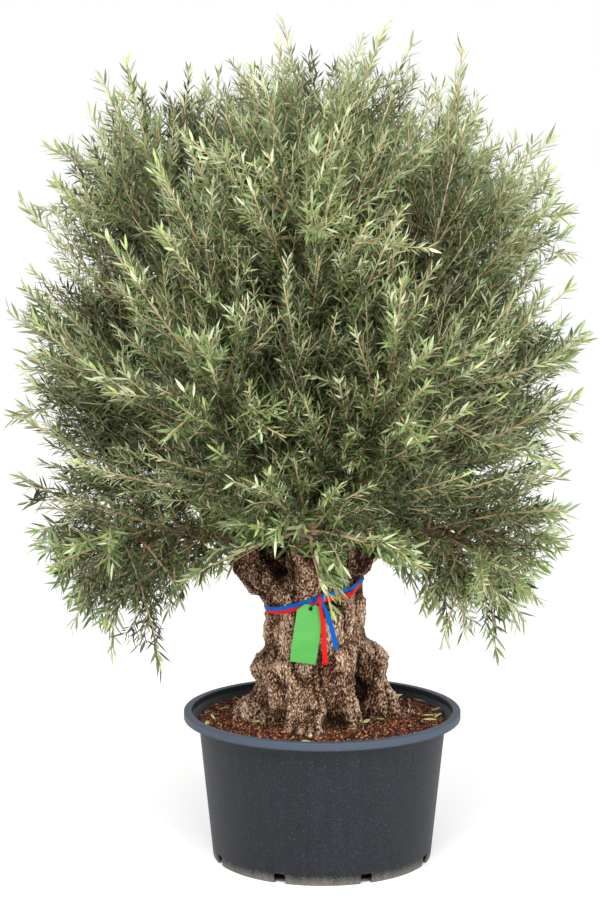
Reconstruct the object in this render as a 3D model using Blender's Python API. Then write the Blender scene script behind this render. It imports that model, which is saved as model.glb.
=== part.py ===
# An old olive tree in a low round nursery pot, built as pot, soil, trunk, boughs, masses of
# foliage, and the ribbon and plain tag tied round the trunk.
# Metres, Z up. The middle of the pot's flat underside is the origin and the front faces -Y.

import math
from collections import namedtuple

import bmesh
import bpy
import numpy as np
from mathutils import Matrix, Vector

CLEAR = 0.0003
SEED = 7
# A steep direction that no limb or twig runs along, from which square directions are found.
STEEP = (0.12, 0.34, 0.93)

# Pot: a tapering moulded wall with a rolled rim and drainage notches round its foot.
POT_HEIGHT = 0.430
POT_RIM_RADIUS = 0.400
POT_MOUTH_RADIUS = 0.377
POT_RIM_DEPTH = 0.024
POT_RIM_TUCK = 0.003
POT_MOUTH_DEPTH = 0.016
POT_SHOULDER_RADIUS = 0.358
POT_SHOULDER_DEPTH = 0.012
POT_FOOT_RADIUS = 0.317
POT_WALL = 0.005
POT_FLOOR = 0.006
POT_SIDES = 56
LIP_STEPS = 4
NOTCH_COUNT = 8
NOTCH_WIDTH = 0.035
NOTCH_HEIGHT = 0.029
NOTCH_DEPTH = 0.022

# Soil: fills the pot from its floor to a level below the rim.
SOIL_LEVEL = 0.400
SOIL_CHAMFER = 0.040
SOIL_GAP = 0.0006
SOIL_EDGE = (0.010, 0.012)
SOIL_SIDES = 32

# Trunk: its middle wanders from the foot to the fork, and roots and knobs stand out of it.
Root = namedtuple("Root", "azimuth width foot knob knob_height rib")
ROOTS = (
    Root(166, 15, 0.104, 0.022, 0.150, 0.006),
    Root(187, 11, 0.066, 0.034, 0.160, 0.008),
    Root(214, 12, 0.048, 0.036, 0.125, 0.002),
    Root(240, 9, 0.040, 0.006, 0.060, 0.002),
    Root(265, 16, 0.078, 0.010, 0.070, 0.012),
    Root(304, 11, 0.034, 0.014, 0.090, 0.008),
    Root(332, 10, -0.056, -0.040, 0.100, -0.014),
    Root(6, 16, 0.112, 0.048, 0.165, 0.004),
    Root(52, 16, 0.075, 0.030, 0.120, 0.012),
    Root(92, 14, 0.085, 0.016, 0.080, 0.004),
    Root(130, 14, 0.060, 0.036, 0.190, 0.010),
)
TRUNK_FOOT_MIDDLE = (-0.006, 0.025)
TRUNK_FORK_MIDDLE = (-0.022, 0.000)
TRUNK_HEIGHT = 0.420
TRUNK_WAIST_RADIUS = 0.134
TRUNK_WAIST_HEIGHT = 0.330
TRUNK_SPREAD = 0.22
FOOT_FADE = 0.085
FOOT_FADE_POWER = 1.3
KNOB_SPAN = 0.050
TRUNK_SIDES = 40
TRUNK_ROWS = 16
TRUNK_ROW_POWER = 1.15
TRUNK_CLOSING_START = 0.9
TRUNK_CLOSING_SHARE = 0.35
TRUNK_TOP_MARGIN = 0.05

# Arms: the thick limbs that the trunk forks into, each with its foot deep in the trunk.
Arm = namedtuple("Arm", "foot bend tip foot_radius tip_radius")
ARMS = {
    "left": Arm((-0.025, 0.00, 0.69), (-0.135, -0.015, 0.83), (-0.255, -0.025, 0.935), 0.094, 0.060),
    "right": Arm((-0.005, 0.01, 0.70), (0.035, 0.010, 0.84), (0.155, 0.000, 0.950), 0.078, 0.052),
    "front": Arm((-0.020, -0.02, 0.69), (-0.030, -0.070, 0.85), (-0.040, -0.150, 0.950), 0.090, 0.050),
    "back": Arm((-0.020, 0.02, 0.69), (-0.020, 0.080, 0.85), (-0.030, 0.170, 0.950), 0.095, 0.052),
    "middle": Arm((-0.020, 0.00, 0.69), (-0.040, 0.000, 0.92), (-0.050, 0.020, 1.120), 0.105, 0.056),
}
ARM_SIDES = 10
ARM_RINGS = 5
BURL_PLACE = (-0.150, -0.075, 0.835)
BURL_RADIUS = 0.048

# Foliage: each mass has a middle, and is carried by a bough that grows from one arm.
Mass = namedtuple("Mass", "middle arm bend lift")
MASSES = {
    "low_left": Mass((-0.580, -0.120, 0.920), "left", (-0.43, -0.08, 0.98), -0.35),
    "left": Mass((-0.590, 0.020, 1.430), "left", (-0.46, 0.05, 1.10), 0.15),
    "top_left": Mass((-0.450, -0.050, 1.900), "left", (-0.28, -0.06, 1.38), 0.45),
    "low_right": Mass((0.460, -0.100, 0.910), "right", (0.32, -0.06, 0.98), -0.35),
    "right": Mass((0.450, 0.040, 1.390), "right", (0.34, 0.05, 1.10), 0.15),
    "top_right": Mass((0.380, -0.040, 1.860), "right", (0.17, -0.03, 1.36), 0.45),
    "low_front": Mass((-0.050, -0.460, 1.030), "front", (-0.05, -0.30, 1.00), -0.20),
    "front_left": Mass((-0.300, -0.440, 1.430), "front", (-0.17, -0.28, 1.16), 0.20),
    "front_right": Mass((0.190, -0.440, 1.420), "front", (0.08, -0.28, 1.16), 0.20),
    "low_back": Mass((-0.060, 0.500, 0.980), "back", (-0.05, 0.34, 1.00), -0.20),
    "back_left": Mass((-0.330, 0.450, 1.430), "back", (-0.17, 0.32, 1.18), 0.20),
    "back_right": Mass((0.220, 0.450, 1.420), "back", (0.08, 0.33, 1.18), 0.20),
    "top": Mass((-0.010, -0.020, 2.010), "middle", (-0.04, 0.01, 1.50), 0.60),
    "top_front": Mass((-0.060, -0.400, 1.860), "middle", (-0.06, -0.26, 1.45), 0.40),
    "top_back": Mass((-0.040, 0.400, 1.880), "middle", (-0.05, 0.30, 1.45), 0.40),
}
COLLAR_LENGTH = 0.085
STEM_LENGTH = 0.130
BOUGH_FOOT_RADIUS = 0.026
STEM_TIP_RADIUS = 0.007
BOUGH_SIDES = 7
BOUGH_STEP = 0.110

# The crown's outline: a rounded box whose top is higher in the middle.
CROWN_MIDDLE = (-0.064, 0.000, 1.450)
CROWN_HALF_WIDTH = 0.825
CROWN_HALF_DEPTH = 0.750
CROWN_RISE = 0.965
CROWN_DROP = 1.000
CROWN_POWER = 2.7
CROWN_LOWEST = 0.552
CROWN_HEART = (-0.050, 0.000, 1.000)

# The foliage's underside arches over the trunk, with one spray hanging before it.
ARCH_MIDDLE = -0.030
ARCH_HEIGHT = 0.910
ARCH_HALF_WIDTH = 0.160
ARCH_SLOPE = 1.6
SPRAY_PLACE = 0.055
SPRAY_HALF_WIDTH = 0.060
SPRAY_DROP = 0.150
UNDERSIDE_STEEPNESS = 0.6

# Growth: main shoots fan out of the stem, and carry side twigs and broad leaf blades.
MAIN_SHOOTS = 11
FAN_BACK = -0.10
SPACE_MARGIN = 0.010
LIMB_MARGIN = 0.012
CORE_INNER_SHARE = 0.90
CORE_OUTER_SHARE = 0.62
CORE_LIMB_MARGIN = 0.040
SLEEVE_WALL = 0.012
SLEEVE_RINGS = 9
SAMPLE_STEP = 0.020
REACH_STEP = 0.010
LONGEST_REACH = 1.200
SHOOT_FOOT_SPREAD = 0.10
SHOOT_TURN = 0.25
SHOOT_SHORTEST_SHARE = 0.95
SHOOT_BOW = 0.10
SHOOT_SAG = 0.06
SHOOT_RINGS = 3
SHOOT_FOOT_RADIUS = 0.0060
SHOOT_TIP_RADIUS = 0.0025
TWIG_PLACE = 0.60
TWIG_LENGTH = 0.090
TWIG_SIDES = 3
TWIG_RADII = (0.0035, 0.0025)
TWIG_ANGLE = 38.0
BLADE_PLACES = (0.64, 0.78)
BLADE_LENGTH = 0.130
BLADE_WIDTH = 0.046
BLADE_THICKNESS = 0.0060
BLADE_SINK = 0.006
BLADE_WAIST = 0.42
BLADE_OVER_SHOOT = 0.70
BLADE_OVER_TWIG = 0.70
BLADE_CLEARANCE = 0.009
BLADE_ROLL = 1.1
BLADE_TURN = 2.4
TWIG_TURN = 1.9
SHORTEST_SHOOT = 0.200

# Ribbon: two flat bands round the waist, a knot in front, and one tail from each band.
BAND_WIDTH = 0.0100
BAND_THICKNESS = 0.0012
BAND_MIDDLE_HEIGHT = 0.774
BAND_SLOPE = 0.25
BAND_DIRECTIONS = 30
BAND_OFFSET = 0.0005
BAND_SHORTEST_EDGE = 0.004
KNOT_PLACE = -0.009
KNOT_SIZE = (0.028, 0.014, 0.022)
KNOT_FOOT_HEIGHT = 0.770
KNOT_SIDES = 8
KNOT_ROWS = ((0.0, 0.80), (0.25, 1.00), (0.75, 1.00), (1.0, 0.60))
TAIL_FOOT_WIDTH = 0.015
TAIL_TOP_WIDTH = 0.007
TAIL_THICKNESS = 0.0014
TAIL_ROWS = 6
TAIL_BOW = 0.001
TAIL_CLEARANCE = 0.002
Tail = namedtuple("Tail", "top end end_height bow")
RED_TAIL = Tail(-0.010, 0.008, 0.594, 0.004)
BLUE_TAIL = Tail(-0.001, 0.040, 0.640, 0.006)

# Tag: a bare plate with clipped top corners and an eyelet, hung from the knot by a thin string.
TAG_WIDTH = 0.075
TAG_LENGTH = 0.169
TAG_THICKNESS = 0.002
TAG_CLIP = 0.020
TAG_LEAN = 8.3
TAG_EYELET = (-0.034, 0.754)
TAG_EYELET_BELOW_TOP = 0.012
TAG_EYELET_RADIUS = 0.0045
TAG_CLEARANCE = 0.0055
STRING_RADIUS = 0.0011
STRING_REACH = 0.0045
STRING_PLACE = -0.017
STRING_SIDES = 6
STRING_END = 0.003
STRING_RISE = (0.003, 0.000, 0.004)
STRING_IN_EYELET = 0.8

# Windows of X and Z, seen from the front, in which the knot and the tag find what is foremost.
KNOT_WINDOW = ((-0.016, -0.002), (0.76, 0.80))
TAG_WINDOW = ((-0.12, 0.06), (0.58, 0.80))


def remove_everything():
    """Empties the scene."""
    for thing in list(bpy.data.objects):
        bpy.data.objects.remove(thing, do_unlink=True)


def material(name, colour, roughness, metallic=0.0):
    """A Principled material of one colour."""
    finish = bpy.data.materials.new(name)
    finish.use_nodes = True
    shader = finish.node_tree.nodes["Principled BSDF"]
    shader.inputs["Base Color"].default_value = (*colour, 1.0)
    shader.inputs["Roughness"].default_value = roughness
    shader.inputs["Metallic"].default_value = metallic
    return finish


def solid(name, vertices, faces, finish=None):
    """A named object in the scene from vertices and faces."""
    mesh = bpy.data.meshes.new(name)
    mesh.from_pydata(np.asarray(vertices).tolist(), [], faces)
    mesh.update()
    thing = bpy.data.objects.new(name, mesh)
    bpy.context.scene.collection.objects.link(thing)
    if finish:
        mesh.materials.append(finish)
    return thing


def primitive(name, make, finish=None, **sizes):
    """An object made by one of bmesh's primitive operators."""
    shape = bmesh.new()
    make(shape, **sizes)
    mesh = bpy.data.meshes.new(name)
    shape.to_mesh(mesh)
    shape.free()
    thing = bpy.data.objects.new(name, mesh)
    bpy.context.scene.collection.objects.link(thing)
    if finish:
        mesh.materials.append(finish)
    return thing


def skin(name, rings, finish=None):
    """Closes a stack of rings, each seen anticlockwise from the far end, with flat end caps."""
    rings = np.asarray(rings)
    rows, sides = rings.shape[:2]
    faces = [tuple(range(sides - 1, -1, -1))]
    for row in range(rows - 1):
        for side in range(sides):
            after = (side + 1) % sides
            low, high = row * sides, (row + 1) * sides
            faces.append((low + side, low + after, high + after, high + side))
    faces.append(tuple((rows - 1) * sides + side for side in range(sides)))
    return solid(name, rings.reshape(-1, 3), faces, finish)


def unit(vectors):
    """Vectors scaled to length one."""
    return vectors / np.linalg.norm(vectors, axis=-1, keepdims=True)


class Limb:
    """A tapering limb along a quadratic curve, measured by its length from the foot."""

    def __init__(self, foot, bend, tip, foot_radius, tip_radius):
        self.controls = np.array([foot, bend, tip], dtype=float)
        self.foot_radius = foot_radius
        self.tip_radius = tip_radius
        self.shares = np.linspace(0.0, 1.0, 65)
        steps = np.linalg.norm(np.diff(self.points(self.shares), axis=0), axis=1)
        self.lengths = np.concatenate([[0.0], np.cumsum(steps)])
        self.length = self.lengths[-1]

    def points(self, shares):
        """Points of the curve at shares of its parameter."""
        share = np.asarray(shares, dtype=float)[..., None]
        foot, bend, tip = self.controls
        return (1 - share) ** 2 * foot + 2 * share * (1 - share) * bend + share ** 2 * tip

    def tangents(self, shares):
        """Directions of the curve at shares of its parameter."""
        share = np.asarray(shares, dtype=float)[..., None]
        foot, bend, tip = self.controls
        return unit((1 - share) * (bend - foot) + share * (tip - bend))

    def share_at(self, distance):
        """The curve's parameter at a distance along it."""
        return np.interp(distance, self.lengths, self.shares)

    def radius(self, distance):
        """The limb's radius at a distance along it."""
        return self.foot_radius + (self.tip_radius - self.foot_radius) * distance / self.length

    def rings(self, start, end, count, sides):
        """Rings square to the curve between two distances along it."""
        distances = np.linspace(start, end, count)
        shares = self.share_at(distances)
        middles = self.points(shares)
        along = self.tangents(shares)
        upright = Vector(along[0]).orthogonal().normalized()
        across = unit(np.cross(along, np.cross(np.array(upright), along)))
        around = np.cross(along, across)
        angles = np.linspace(0, 2 * math.pi, sides, endpoint=False)
        outward = (
            across[:, None] * np.cos(angles)[None, :, None]
            + around[:, None] * np.sin(angles)[None, :, None]
        )
        return middles[:, None] + outward * self.radius(distances)[:, None, None]

    def samples(self, start, end):
        """Points and radii along a stretch of the limb, for measuring clearances."""
        count = max(2, int((end - start) / SAMPLE_STEP) + 1)
        distances = np.linspace(start, end, count)
        return self.points(self.share_at(distances)), self.radius(distances)


def gathered(name, pieces):
    """Moves pieces into a collection of their own, for a Boolean."""
    group = bpy.data.collections.new(name)
    bpy.context.scene.collection.children.link(group)
    for piece in pieces:
        bpy.context.scene.collection.objects.unlink(piece)
        group.objects.link(piece)
    return group


def scattered(group):
    """Removes a collection and the objects in it."""
    for piece in list(group.objects):
        bpy.data.objects.remove(piece, do_unlink=True)
    bpy.data.collections.remove(group)


def combined(body, operation, group, solver):
    """Applies a Boolean with a collection to the body's mesh."""
    change = body.modifiers.new(operation, "BOOLEAN")
    change.operation = operation
    change.operand_type = "COLLECTION"
    change.collection = group
    change.solver = solver
    bpy.context.view_layer.update()
    graph = bpy.context.evaluated_depsgraph_get()
    result = bpy.data.meshes.new_from_object(body.evaluated_get(graph))
    body.modifiers.clear()
    body.data = result


def united(name, pieces, finish, solver="EXACT"):
    """Joins pieces by one Boolean union on a collection and keeps its one outer body."""
    body = pieces[0]
    group = gathered(name + "_parts", pieces[1:])
    combined(body, "UNION", group, solver)
    scattered(group)
    body.name = name
    body.data.name = name
    body.data.materials.clear()
    body.data.materials.append(finish)
    keep_outer_body(body.data)
    return body


def keep_outer_body(mesh):
    """Drops sealed hollows and loose scraps, so one closed body is left."""
    shape = bmesh.new()
    shape.from_mesh(mesh)
    bmesh.ops.triangulate(shape, faces=shape.faces)
    unseen = set(shape.faces)
    bodies = []
    while unseen:
        queue = [unseen.pop()]
        body = list(queue)
        while queue:
            for edge in queue.pop().edges:
                for face in edge.link_faces:
                    if face in unseen:
                        unseen.remove(face)
                        queue.append(face)
                        body.append(face)
        bodies.append(body)
    bodies.sort(key=lambda body: sum(face.calc_area() for face in body))
    scraps = [face for body in bodies[:-1] for face in body]
    bmesh.ops.delete(shape, geom=scraps, context="FACES")
    shape.to_mesh(mesh)
    shape.free()


def turned(outline, sides):
    """Rings of an outline of radii and heights, turned about Z."""
    angles = np.linspace(0, 2 * math.pi, sides, endpoint=False)
    radii, heights = np.array(outline).T[:, :, None]
    rings = [radii * np.cos(angles), radii * np.sin(angles), heights + 0 * angles]
    return np.stack(rings, axis=-1)


def pot_outline():
    """The pot's section from the middle of its underside, up the outside and down the inside."""
    under_rim = POT_HEIGHT - POT_RIM_DEPTH
    lip = (POT_RIM_RADIUS - POT_MOUTH_RADIUS) / 2
    lip_middle = POT_RIM_RADIUS - lip
    lip_height = POT_HEIGHT - lip
    outside = [(POT_FOOT_RADIUS, 0.0), (POT_SHOULDER_RADIUS, under_rim)]
    rim = [(POT_RIM_RADIUS - POT_RIM_TUCK, under_rim)]
    for step in range(LIP_STEPS + 1):
        angle = math.pi * step / LIP_STEPS
        rim.append((lip_middle + lip * math.cos(angle), lip_height + lip * math.sin(angle)))
    inner_shoulder = POT_SHOULDER_RADIUS - POT_WALL
    inner_foot = POT_FOOT_RADIUS - POT_WALL
    inside = [
        (POT_MOUTH_RADIUS, POT_HEIGHT - POT_MOUTH_DEPTH),
        (inner_shoulder, under_rim - POT_SHOULDER_DEPTH),
        (inner_foot, POT_FLOOR),
    ]
    return outside + rim + inside


def build_pot(finish):
    """Turns the pot about Z and cuts the drainage notches."""
    pot = skin("pot", turned(pot_outline(), POT_SIDES), finish)
    cutters = []
    for index in range(NOTCH_COUNT):
        turn = 2 * math.pi * (index + 0.5) / NOTCH_COUNT
        cutter = primitive("notch", bmesh.ops.create_cube, size=1.0)
        for vertex in cutter.data.vertices:
            out = POT_FOOT_RADIUS + vertex.co.x * NOTCH_DEPTH * 2
            side = vertex.co.y * NOTCH_WIDTH
            height = vertex.co.z * NOTCH_HEIGHT * 2
            vertex.co = (
                out * math.cos(turn) - side * math.sin(turn),
                out * math.sin(turn) + side * math.cos(turn),
                height,
            )
        cutters.append(cutter)
    notches = gathered("notches", cutters)
    combined(pot, "DIFFERENCE", notches, "MANIFOLD")
    scattered(notches)
    return pot


def build_soil(finish):
    """The soil fills the pot, clear of its wall, with a chamfer above the drainage notches."""
    rise = POT_HEIGHT - POT_RIM_DEPTH - POT_SHOULDER_DEPTH - POT_FLOOR
    inner_foot = POT_FOOT_RADIUS - POT_WALL
    widening = (POT_SHOULDER_RADIUS - POT_FOOT_RADIUS) / rise
    facet = math.cos(math.pi / POT_SIDES)

    def radius(height):
        return (inner_foot + widening * (height - POT_FLOOR)) * facet - SOIL_GAP

    floor = POT_FLOOR + CLEAR
    edge_inset, edge_drop = SOIL_EDGE
    edge = SOIL_LEVEL - edge_drop
    outline = [
        (radius(floor) - SOIL_CHAMFER, floor),
        (radius(SOIL_CHAMFER), SOIL_CHAMFER),
        (radius(edge), edge),
        (radius(edge) - edge_inset, SOIL_LEVEL),
    ]
    return skin("soil", turned(outline, SOIL_SIDES), finish)


def trunk_middle(height):
    """The trunk's middle in plan, by height above the soil."""
    share = np.clip(height / TRUNK_HEIGHT, 0.0, 1.0)[..., None]
    ease = share * share * (3 - 2 * share)
    foot, fork = np.array(TRUNK_FOOT_MIDDLE), np.array(TRUNK_FORK_MIDDLE)
    return foot + (fork - foot) * ease


def trunk_radius(angle, height):
    """The trunk's radius by direction and height above the soil, roots and knobs included."""
    away_from_waist = height - TRUNK_WAIST_HEIGHT
    radius = TRUNK_WAIST_RADIUS + TRUNK_SPREAD * away_from_waist ** 2
    foot_share = np.exp(-np.abs(height / FOOT_FADE) ** FOOT_FADE_POWER)
    for root in ROOTS:
        off = np.abs((angle - math.radians(root.azimuth) + math.pi) % (2 * math.pi) - math.pi)
        across = np.exp(-((off / math.radians(root.width)) ** 2))
        knob = np.exp(-(((height - root.knob_height) / KNOB_SPAN) ** 2))
        radius = radius + across * (root.foot * foot_share + root.knob * knob + root.rib)
    return radius


def build_trunk(limbs, finish):
    """The trunk from its flat cut on the soil to its arms and the collars of the boughs."""
    heights = TRUNK_HEIGHT * np.linspace(0, 1, TRUNK_ROWS) ** TRUNK_ROW_POWER
    angles = np.linspace(0, 2 * math.pi, TRUNK_SIDES, endpoint=False)
    angle, height = np.meshgrid(angles, heights)
    closing_height = TRUNK_HEIGHT * TRUNK_CLOSING_START
    closing = np.clip((height - closing_height) / (TRUNK_HEIGHT - closing_height), 0, 1)
    radius = trunk_radius(angle, height) * (1 - TRUNK_CLOSING_SHARE * closing ** 2)
    middle = trunk_middle(height)
    x = middle[..., 0] + radius * np.cos(angle)
    y = middle[..., 1] + radius * np.sin(angle)
    stump = skin("stump", np.stack([x, y, SOIL_LEVEL + CLEAR + height], axis=-1))
    pieces = [stump]
    for arm in ARMS.values():
        limb = Limb(*arm)
        pieces.append(skin("arm", limb.rings(0, limb.length, ARM_RINGS, ARM_SIDES)))
    for limb in limbs.values():
        pieces.append(skin("collar", limb.rings(0, COLLAR_LENGTH, 3, BOUGH_SIDES)))
    burl = primitive("burl", bmesh.ops.create_icosphere, subdivisions=2, radius=BURL_RADIUS)
    burl.data.transform(Matrix.Translation(BURL_PLACE))
    pieces.append(burl)
    return united("trunk", pieces, finish)


def bough_limbs():
    """The whole run of each bough, from inside its arm to the middle of its mass."""
    limbs = {}
    for name, mass in MASSES.items():
        foot = ARMS[mass.arm].tip
        limbs[name] = Limb(foot, mass.bend, mass.middle, BOUGH_FOOT_RADIUS, STEM_TIP_RADIUS)
    return limbs


def bough_end(limb):
    """The distance along a bough's run at which the bough enters its mass."""
    return limb.length - STEM_LENGTH


def build_bough(name, limb, finish):
    """One tapering bough from its collar to where it enters its mass."""
    start, end = COLLAR_LENGTH + CLEAR, bough_end(limb)
    count = max(3, round((end - start) / BOUGH_STEP) + 1)
    return skin(f"bough_{name}", limb.rings(start, end, count, BOUGH_SIDES), finish)


def underside(points):
    """The lowest height of the foliage over each point in plan."""
    beside = np.abs(points[..., 0] - ARCH_MIDDLE) - ARCH_HALF_WIDTH
    arch = ARCH_HEIGHT - ARCH_SLOPE * np.maximum(beside, 0.0)
    spray = np.exp(-(((points[..., 0] - SPRAY_PLACE) / SPRAY_HALF_WIDTH) ** 2))
    in_front = points[..., 1] < -TRUNK_WAIST_RADIUS
    return np.maximum(arch - SPRAY_DROP * spray * in_front, CROWN_LOWEST)


class Space:
    """The space of one mass: nearer to its own middle than to any other, inside the crown."""

    def __init__(self, name, obstacles):
        self.middle = np.array(MASSES[name].middle)
        self.others = np.array([mass.middle for key, mass in MASSES.items() if key != name])
        self.obstacle_points, self.obstacle_radii = obstacles

    def cell_room(self, points):
        """The distance from points to the nearest border with another mass."""
        points = np.asarray(points)[..., None, :]
        apart = self.others - self.middle
        halfway = (self.others + self.middle) / 2
        return np.min(np.sum((halfway - points) * unit(apart), axis=-1), axis=-1)

    def crown_room(self, points):
        """About how far points are inside the crown's outline, under zero outside it."""
        points = np.asarray(points)
        above = points[..., 2] > CROWN_MIDDLE[2]
        sizes = np.stack([
            np.full(above.shape, CROWN_HALF_WIDTH),
            np.full(above.shape, CROWN_HALF_DEPTH),
            np.where(above, CROWN_RISE, CROWN_DROP),
        ], axis=-1)
        off = np.abs(points - np.array(CROWN_MIDDLE)) / sizes
        share = np.sum(off ** CROWN_POWER, axis=-1) ** (1 / CROWN_POWER)
        above_underside = (points[..., 2] - underside(points)) * UNDERSIDE_STEEPNESS
        return np.minimum((1 - share) * CROWN_HALF_DEPTH, above_underside)

    def room(self, points):
        """The distance from points to the edge of the space, under zero outside it."""
        return np.minimum(self.cell_room(points), self.crown_room(points))

    def clearance(self, points):
        """The distance from points to the nearest limb's bark or to the trunk."""
        points = np.asarray(points)
        span = np.linalg.norm(points[..., None, :] - self.obstacle_points, axis=-1)
        limbs = np.min(span - self.obstacle_radii, axis=-1)
        height = points[..., 2] - SOIL_LEVEL
        plan = points[..., :2] - trunk_middle(height)
        angle = np.arctan2(plan[..., 1], plan[..., 0])
        beside = np.linalg.norm(plan, axis=-1) - trunk_radius(angle, np.clip(height, 0, TRUNK_HEIGHT))
        by_trunk = height < TRUNK_HEIGHT + TRUNK_TOP_MARGIN
        return np.where(by_trunk, np.minimum(limbs, beside), limbs)

    def reach(self, start, direction, measures):
        """How far a straight line runs before one of the measured distances gets too small."""
        distances = np.arange(REACH_STEP, LONGEST_REACH, REACH_STEP)
        points = start + direction * distances[:, None]
        outside = np.zeros(len(distances), dtype=bool)
        for measure, least in measures:
            outside |= measure(points) < least
        return distances[np.argmax(outside)] if outside.any() else distances[-1]

    def holds(self, points, half_size):
        """Whether a twig or blade of this half size stays in the space and off the limbs."""
        if np.min(self.room(points)) < SPACE_MARGIN:
            return False
        return np.min(self.clearance(points)) > LIMB_MARGIN + half_size


def main_shoots(name, limb, space):
    """The mass's main shoots: a fan of curves about its outward direction."""
    draw = np.random.default_rng([SEED, list(MASSES).index(name)])
    mass = MASSES[name]
    outward = unit(np.array(mass.middle) - np.array(CROWN_HEART) + np.array([0, 0, mass.lift]))
    side = unit(np.cross(outward, STEEP))
    other = np.cross(outward, side)
    limits = ((space.room, SPACE_MARGIN), (space.clearance, LIMB_MARGIN))
    shoots = []
    for index in range(MAIN_SHOOTS):
        cosine = 1 - (1 - FAN_BACK) * (index + 0.35) / MAIN_SHOOTS
        sine = math.sqrt(1 - cosine ** 2)
        turn = index * math.pi * (3 - math.sqrt(5)) + draw.uniform(-SHOOT_TURN, SHOOT_TURN)
        direction = outward * cosine + (side * math.cos(turn) + other * math.sin(turn)) * sine
        start = limb.points(1 - draw.uniform(0, SHOOT_FOOT_SPREAD))
        length = space.reach(start, direction, limits) * draw.uniform(SHOOT_SHORTEST_SHARE, 1)
        tip = start + direction * length
        rise = length * (SHOOT_BOW if mass.lift < 0 else -SHOOT_SAG)
        bend = (start + tip) / 2 + np.array([0, 0, rise])
        shoots.append(Limb(start, bend, tip, SHOOT_FOOT_RADIUS, SHOOT_TIP_RADIUS))
    return shoots


def side_direction(shoot, share, turn):
    """A direction that leaves a shoot at the twigs' angle, turned about it."""
    along = shoot.tangents(share)
    level = unit(np.cross(along, STEEP))
    across = level * math.cos(turn) + np.cross(along, level) * math.sin(turn)
    lean = math.radians(TWIG_ANGLE)
    return along * math.cos(lean) + across * math.sin(lean)


def blade(root, direction, length, roll):
    """A broad thin leaf blade of eight faces that stands for a spray of leaves."""
    level = unit(np.cross(direction, STEEP))
    upright = np.cross(direction, level)
    across = level * math.cos(roll) + upright * math.sin(roll)
    flat = np.cross(direction, across)
    waist = root + direction * length * BLADE_WAIST
    vertices = [
        root - direction * BLADE_SINK,
        waist + across * BLADE_WIDTH / 2,
        waist + flat * BLADE_THICKNESS / 2,
        waist - across * BLADE_WIDTH / 2,
        waist - flat * BLADE_THICKNESS / 2,
        root + direction * length,
    ]
    faces = []
    for corner in range(1, 5):
        after = corner % 4 + 1
        faces += [(0, after, corner), (5, corner, after)]
    return solid("blade", vertices, faces)


def blade_roots(shoot, index):
    """Where blades leave a shoot: its tip, and in turn round its outer half."""
    tip = shoot.share_at(shoot.length - BLADE_LENGTH)
    roots = [(shoot.points(tip), unit(shoot.points(1.0) - shoot.points(tip)))]
    for place, share in enumerate(BLADE_PLACES):
        turn = BLADE_TURN * (index + place)
        roots.append((shoot.points(share), side_direction(shoot, share, turn)))
    return roots


def build_mass(name, limb, space, sleeves, finish):
    """One mass of foliage: stem, core, main shoots, side twigs and blades in one body."""
    stem_rings = limb.rings(bough_end(limb) + CLEAR, limb.length, 3, BOUGH_SIDES)
    pieces = [skin("stem", stem_rings), build_core(space, sleeves)]
    steps = np.linspace(0.1, 1.0, 6)[:, None]
    for index, shoot in enumerate(main_shoots(name, limb, space)):
        if shoot.length < SHORTEST_SHOOT:
            continue
        shoot_end = shoot.length - BLADE_LENGTH * BLADE_OVER_SHOOT
        pieces.append(skin("shoot", shoot.rings(0, shoot_end, SHOOT_RINGS, TWIG_SIDES)))
        roots = blade_roots(shoot, index)
        foot = shoot.points(TWIG_PLACE)
        direction = side_direction(shoot, TWIG_PLACE, TWIG_TURN * index)
        twig = Limb(foot, foot + direction * TWIG_LENGTH / 2, foot + direction * TWIG_LENGTH, *TWIG_RADII)
        if space.holds(foot + direction * (TWIG_LENGTH + BLADE_LENGTH) * steps, TWIG_RADII[0]):
            pieces.append(skin("twig", twig.rings(0, TWIG_LENGTH, 2, TWIG_SIDES)))
            roots.append((twig.points(BLADE_OVER_TWIG), direction))
        for place, (root, along) in enumerate(roots):
            if space.holds(root + along * BLADE_LENGTH * steps, BLADE_CLEARANCE):
                pieces.append(blade(root, along, BLADE_LENGTH, BLADE_ROLL * (index + place)))
    return united(f"foliage_{name}", pieces, finish, solver="MANIFOLD")


def build_core(space, sleeves):
    """The mass's core: nearly up to its neighbours, short of the crown's outline, off limbs."""
    core = primitive("core", bmesh.ops.create_icosphere, subdivisions=2, radius=1.0)
    for vertex in core.data.vertices:
        direction = np.array(vertex.co.normalized())
        to_neighbour = space.reach(space.middle, direction, ((space.cell_room, SPACE_MARGIN),))
        to_outline = space.reach(space.middle, direction, ((space.crown_room, SPACE_MARGIN),))
        to_limb = space.reach(space.middle, direction, ((space.clearance, CORE_LIMB_MARGIN),))
        size = min(to_neighbour * CORE_INNER_SHARE, to_outline * CORE_OUTER_SHARE, to_limb)
        vertex.co = Vector(space.middle + direction * size)
    combined(core, "DIFFERENCE", sleeves, "MANIFOLD")
    keep_outer_body(core.data)
    return core


def limb_sleeves(limbs):
    """Fat sleeves round the limbs, which cut the cores clear of them."""
    sleeves = []
    for limb in limbs.values():
        fat = Limb(*limb.controls, limb.foot_radius + SLEEVE_WALL, limb.tip_radius + SLEEVE_WALL)
        rings = fat.rings(0, bough_end(limb) + SLEEVE_WALL, SLEEVE_RINGS, BOUGH_SIDES)
        sleeves.append(skin("sleeve", rings))
    for arm in ARMS.values():
        radii = arm.foot_radius + SLEEVE_WALL, arm.tip_radius + SLEEVE_WALL
        fat = Limb(arm.foot, arm.bend, arm.tip, *radii)
        rings = fat.rings(0, fat.length + SLEEVE_WALL, ARM_RINGS, ARM_SIDES)
        sleeves.append(skin("sleeve", rings))
    return gathered("sleeves", sleeves)


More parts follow.
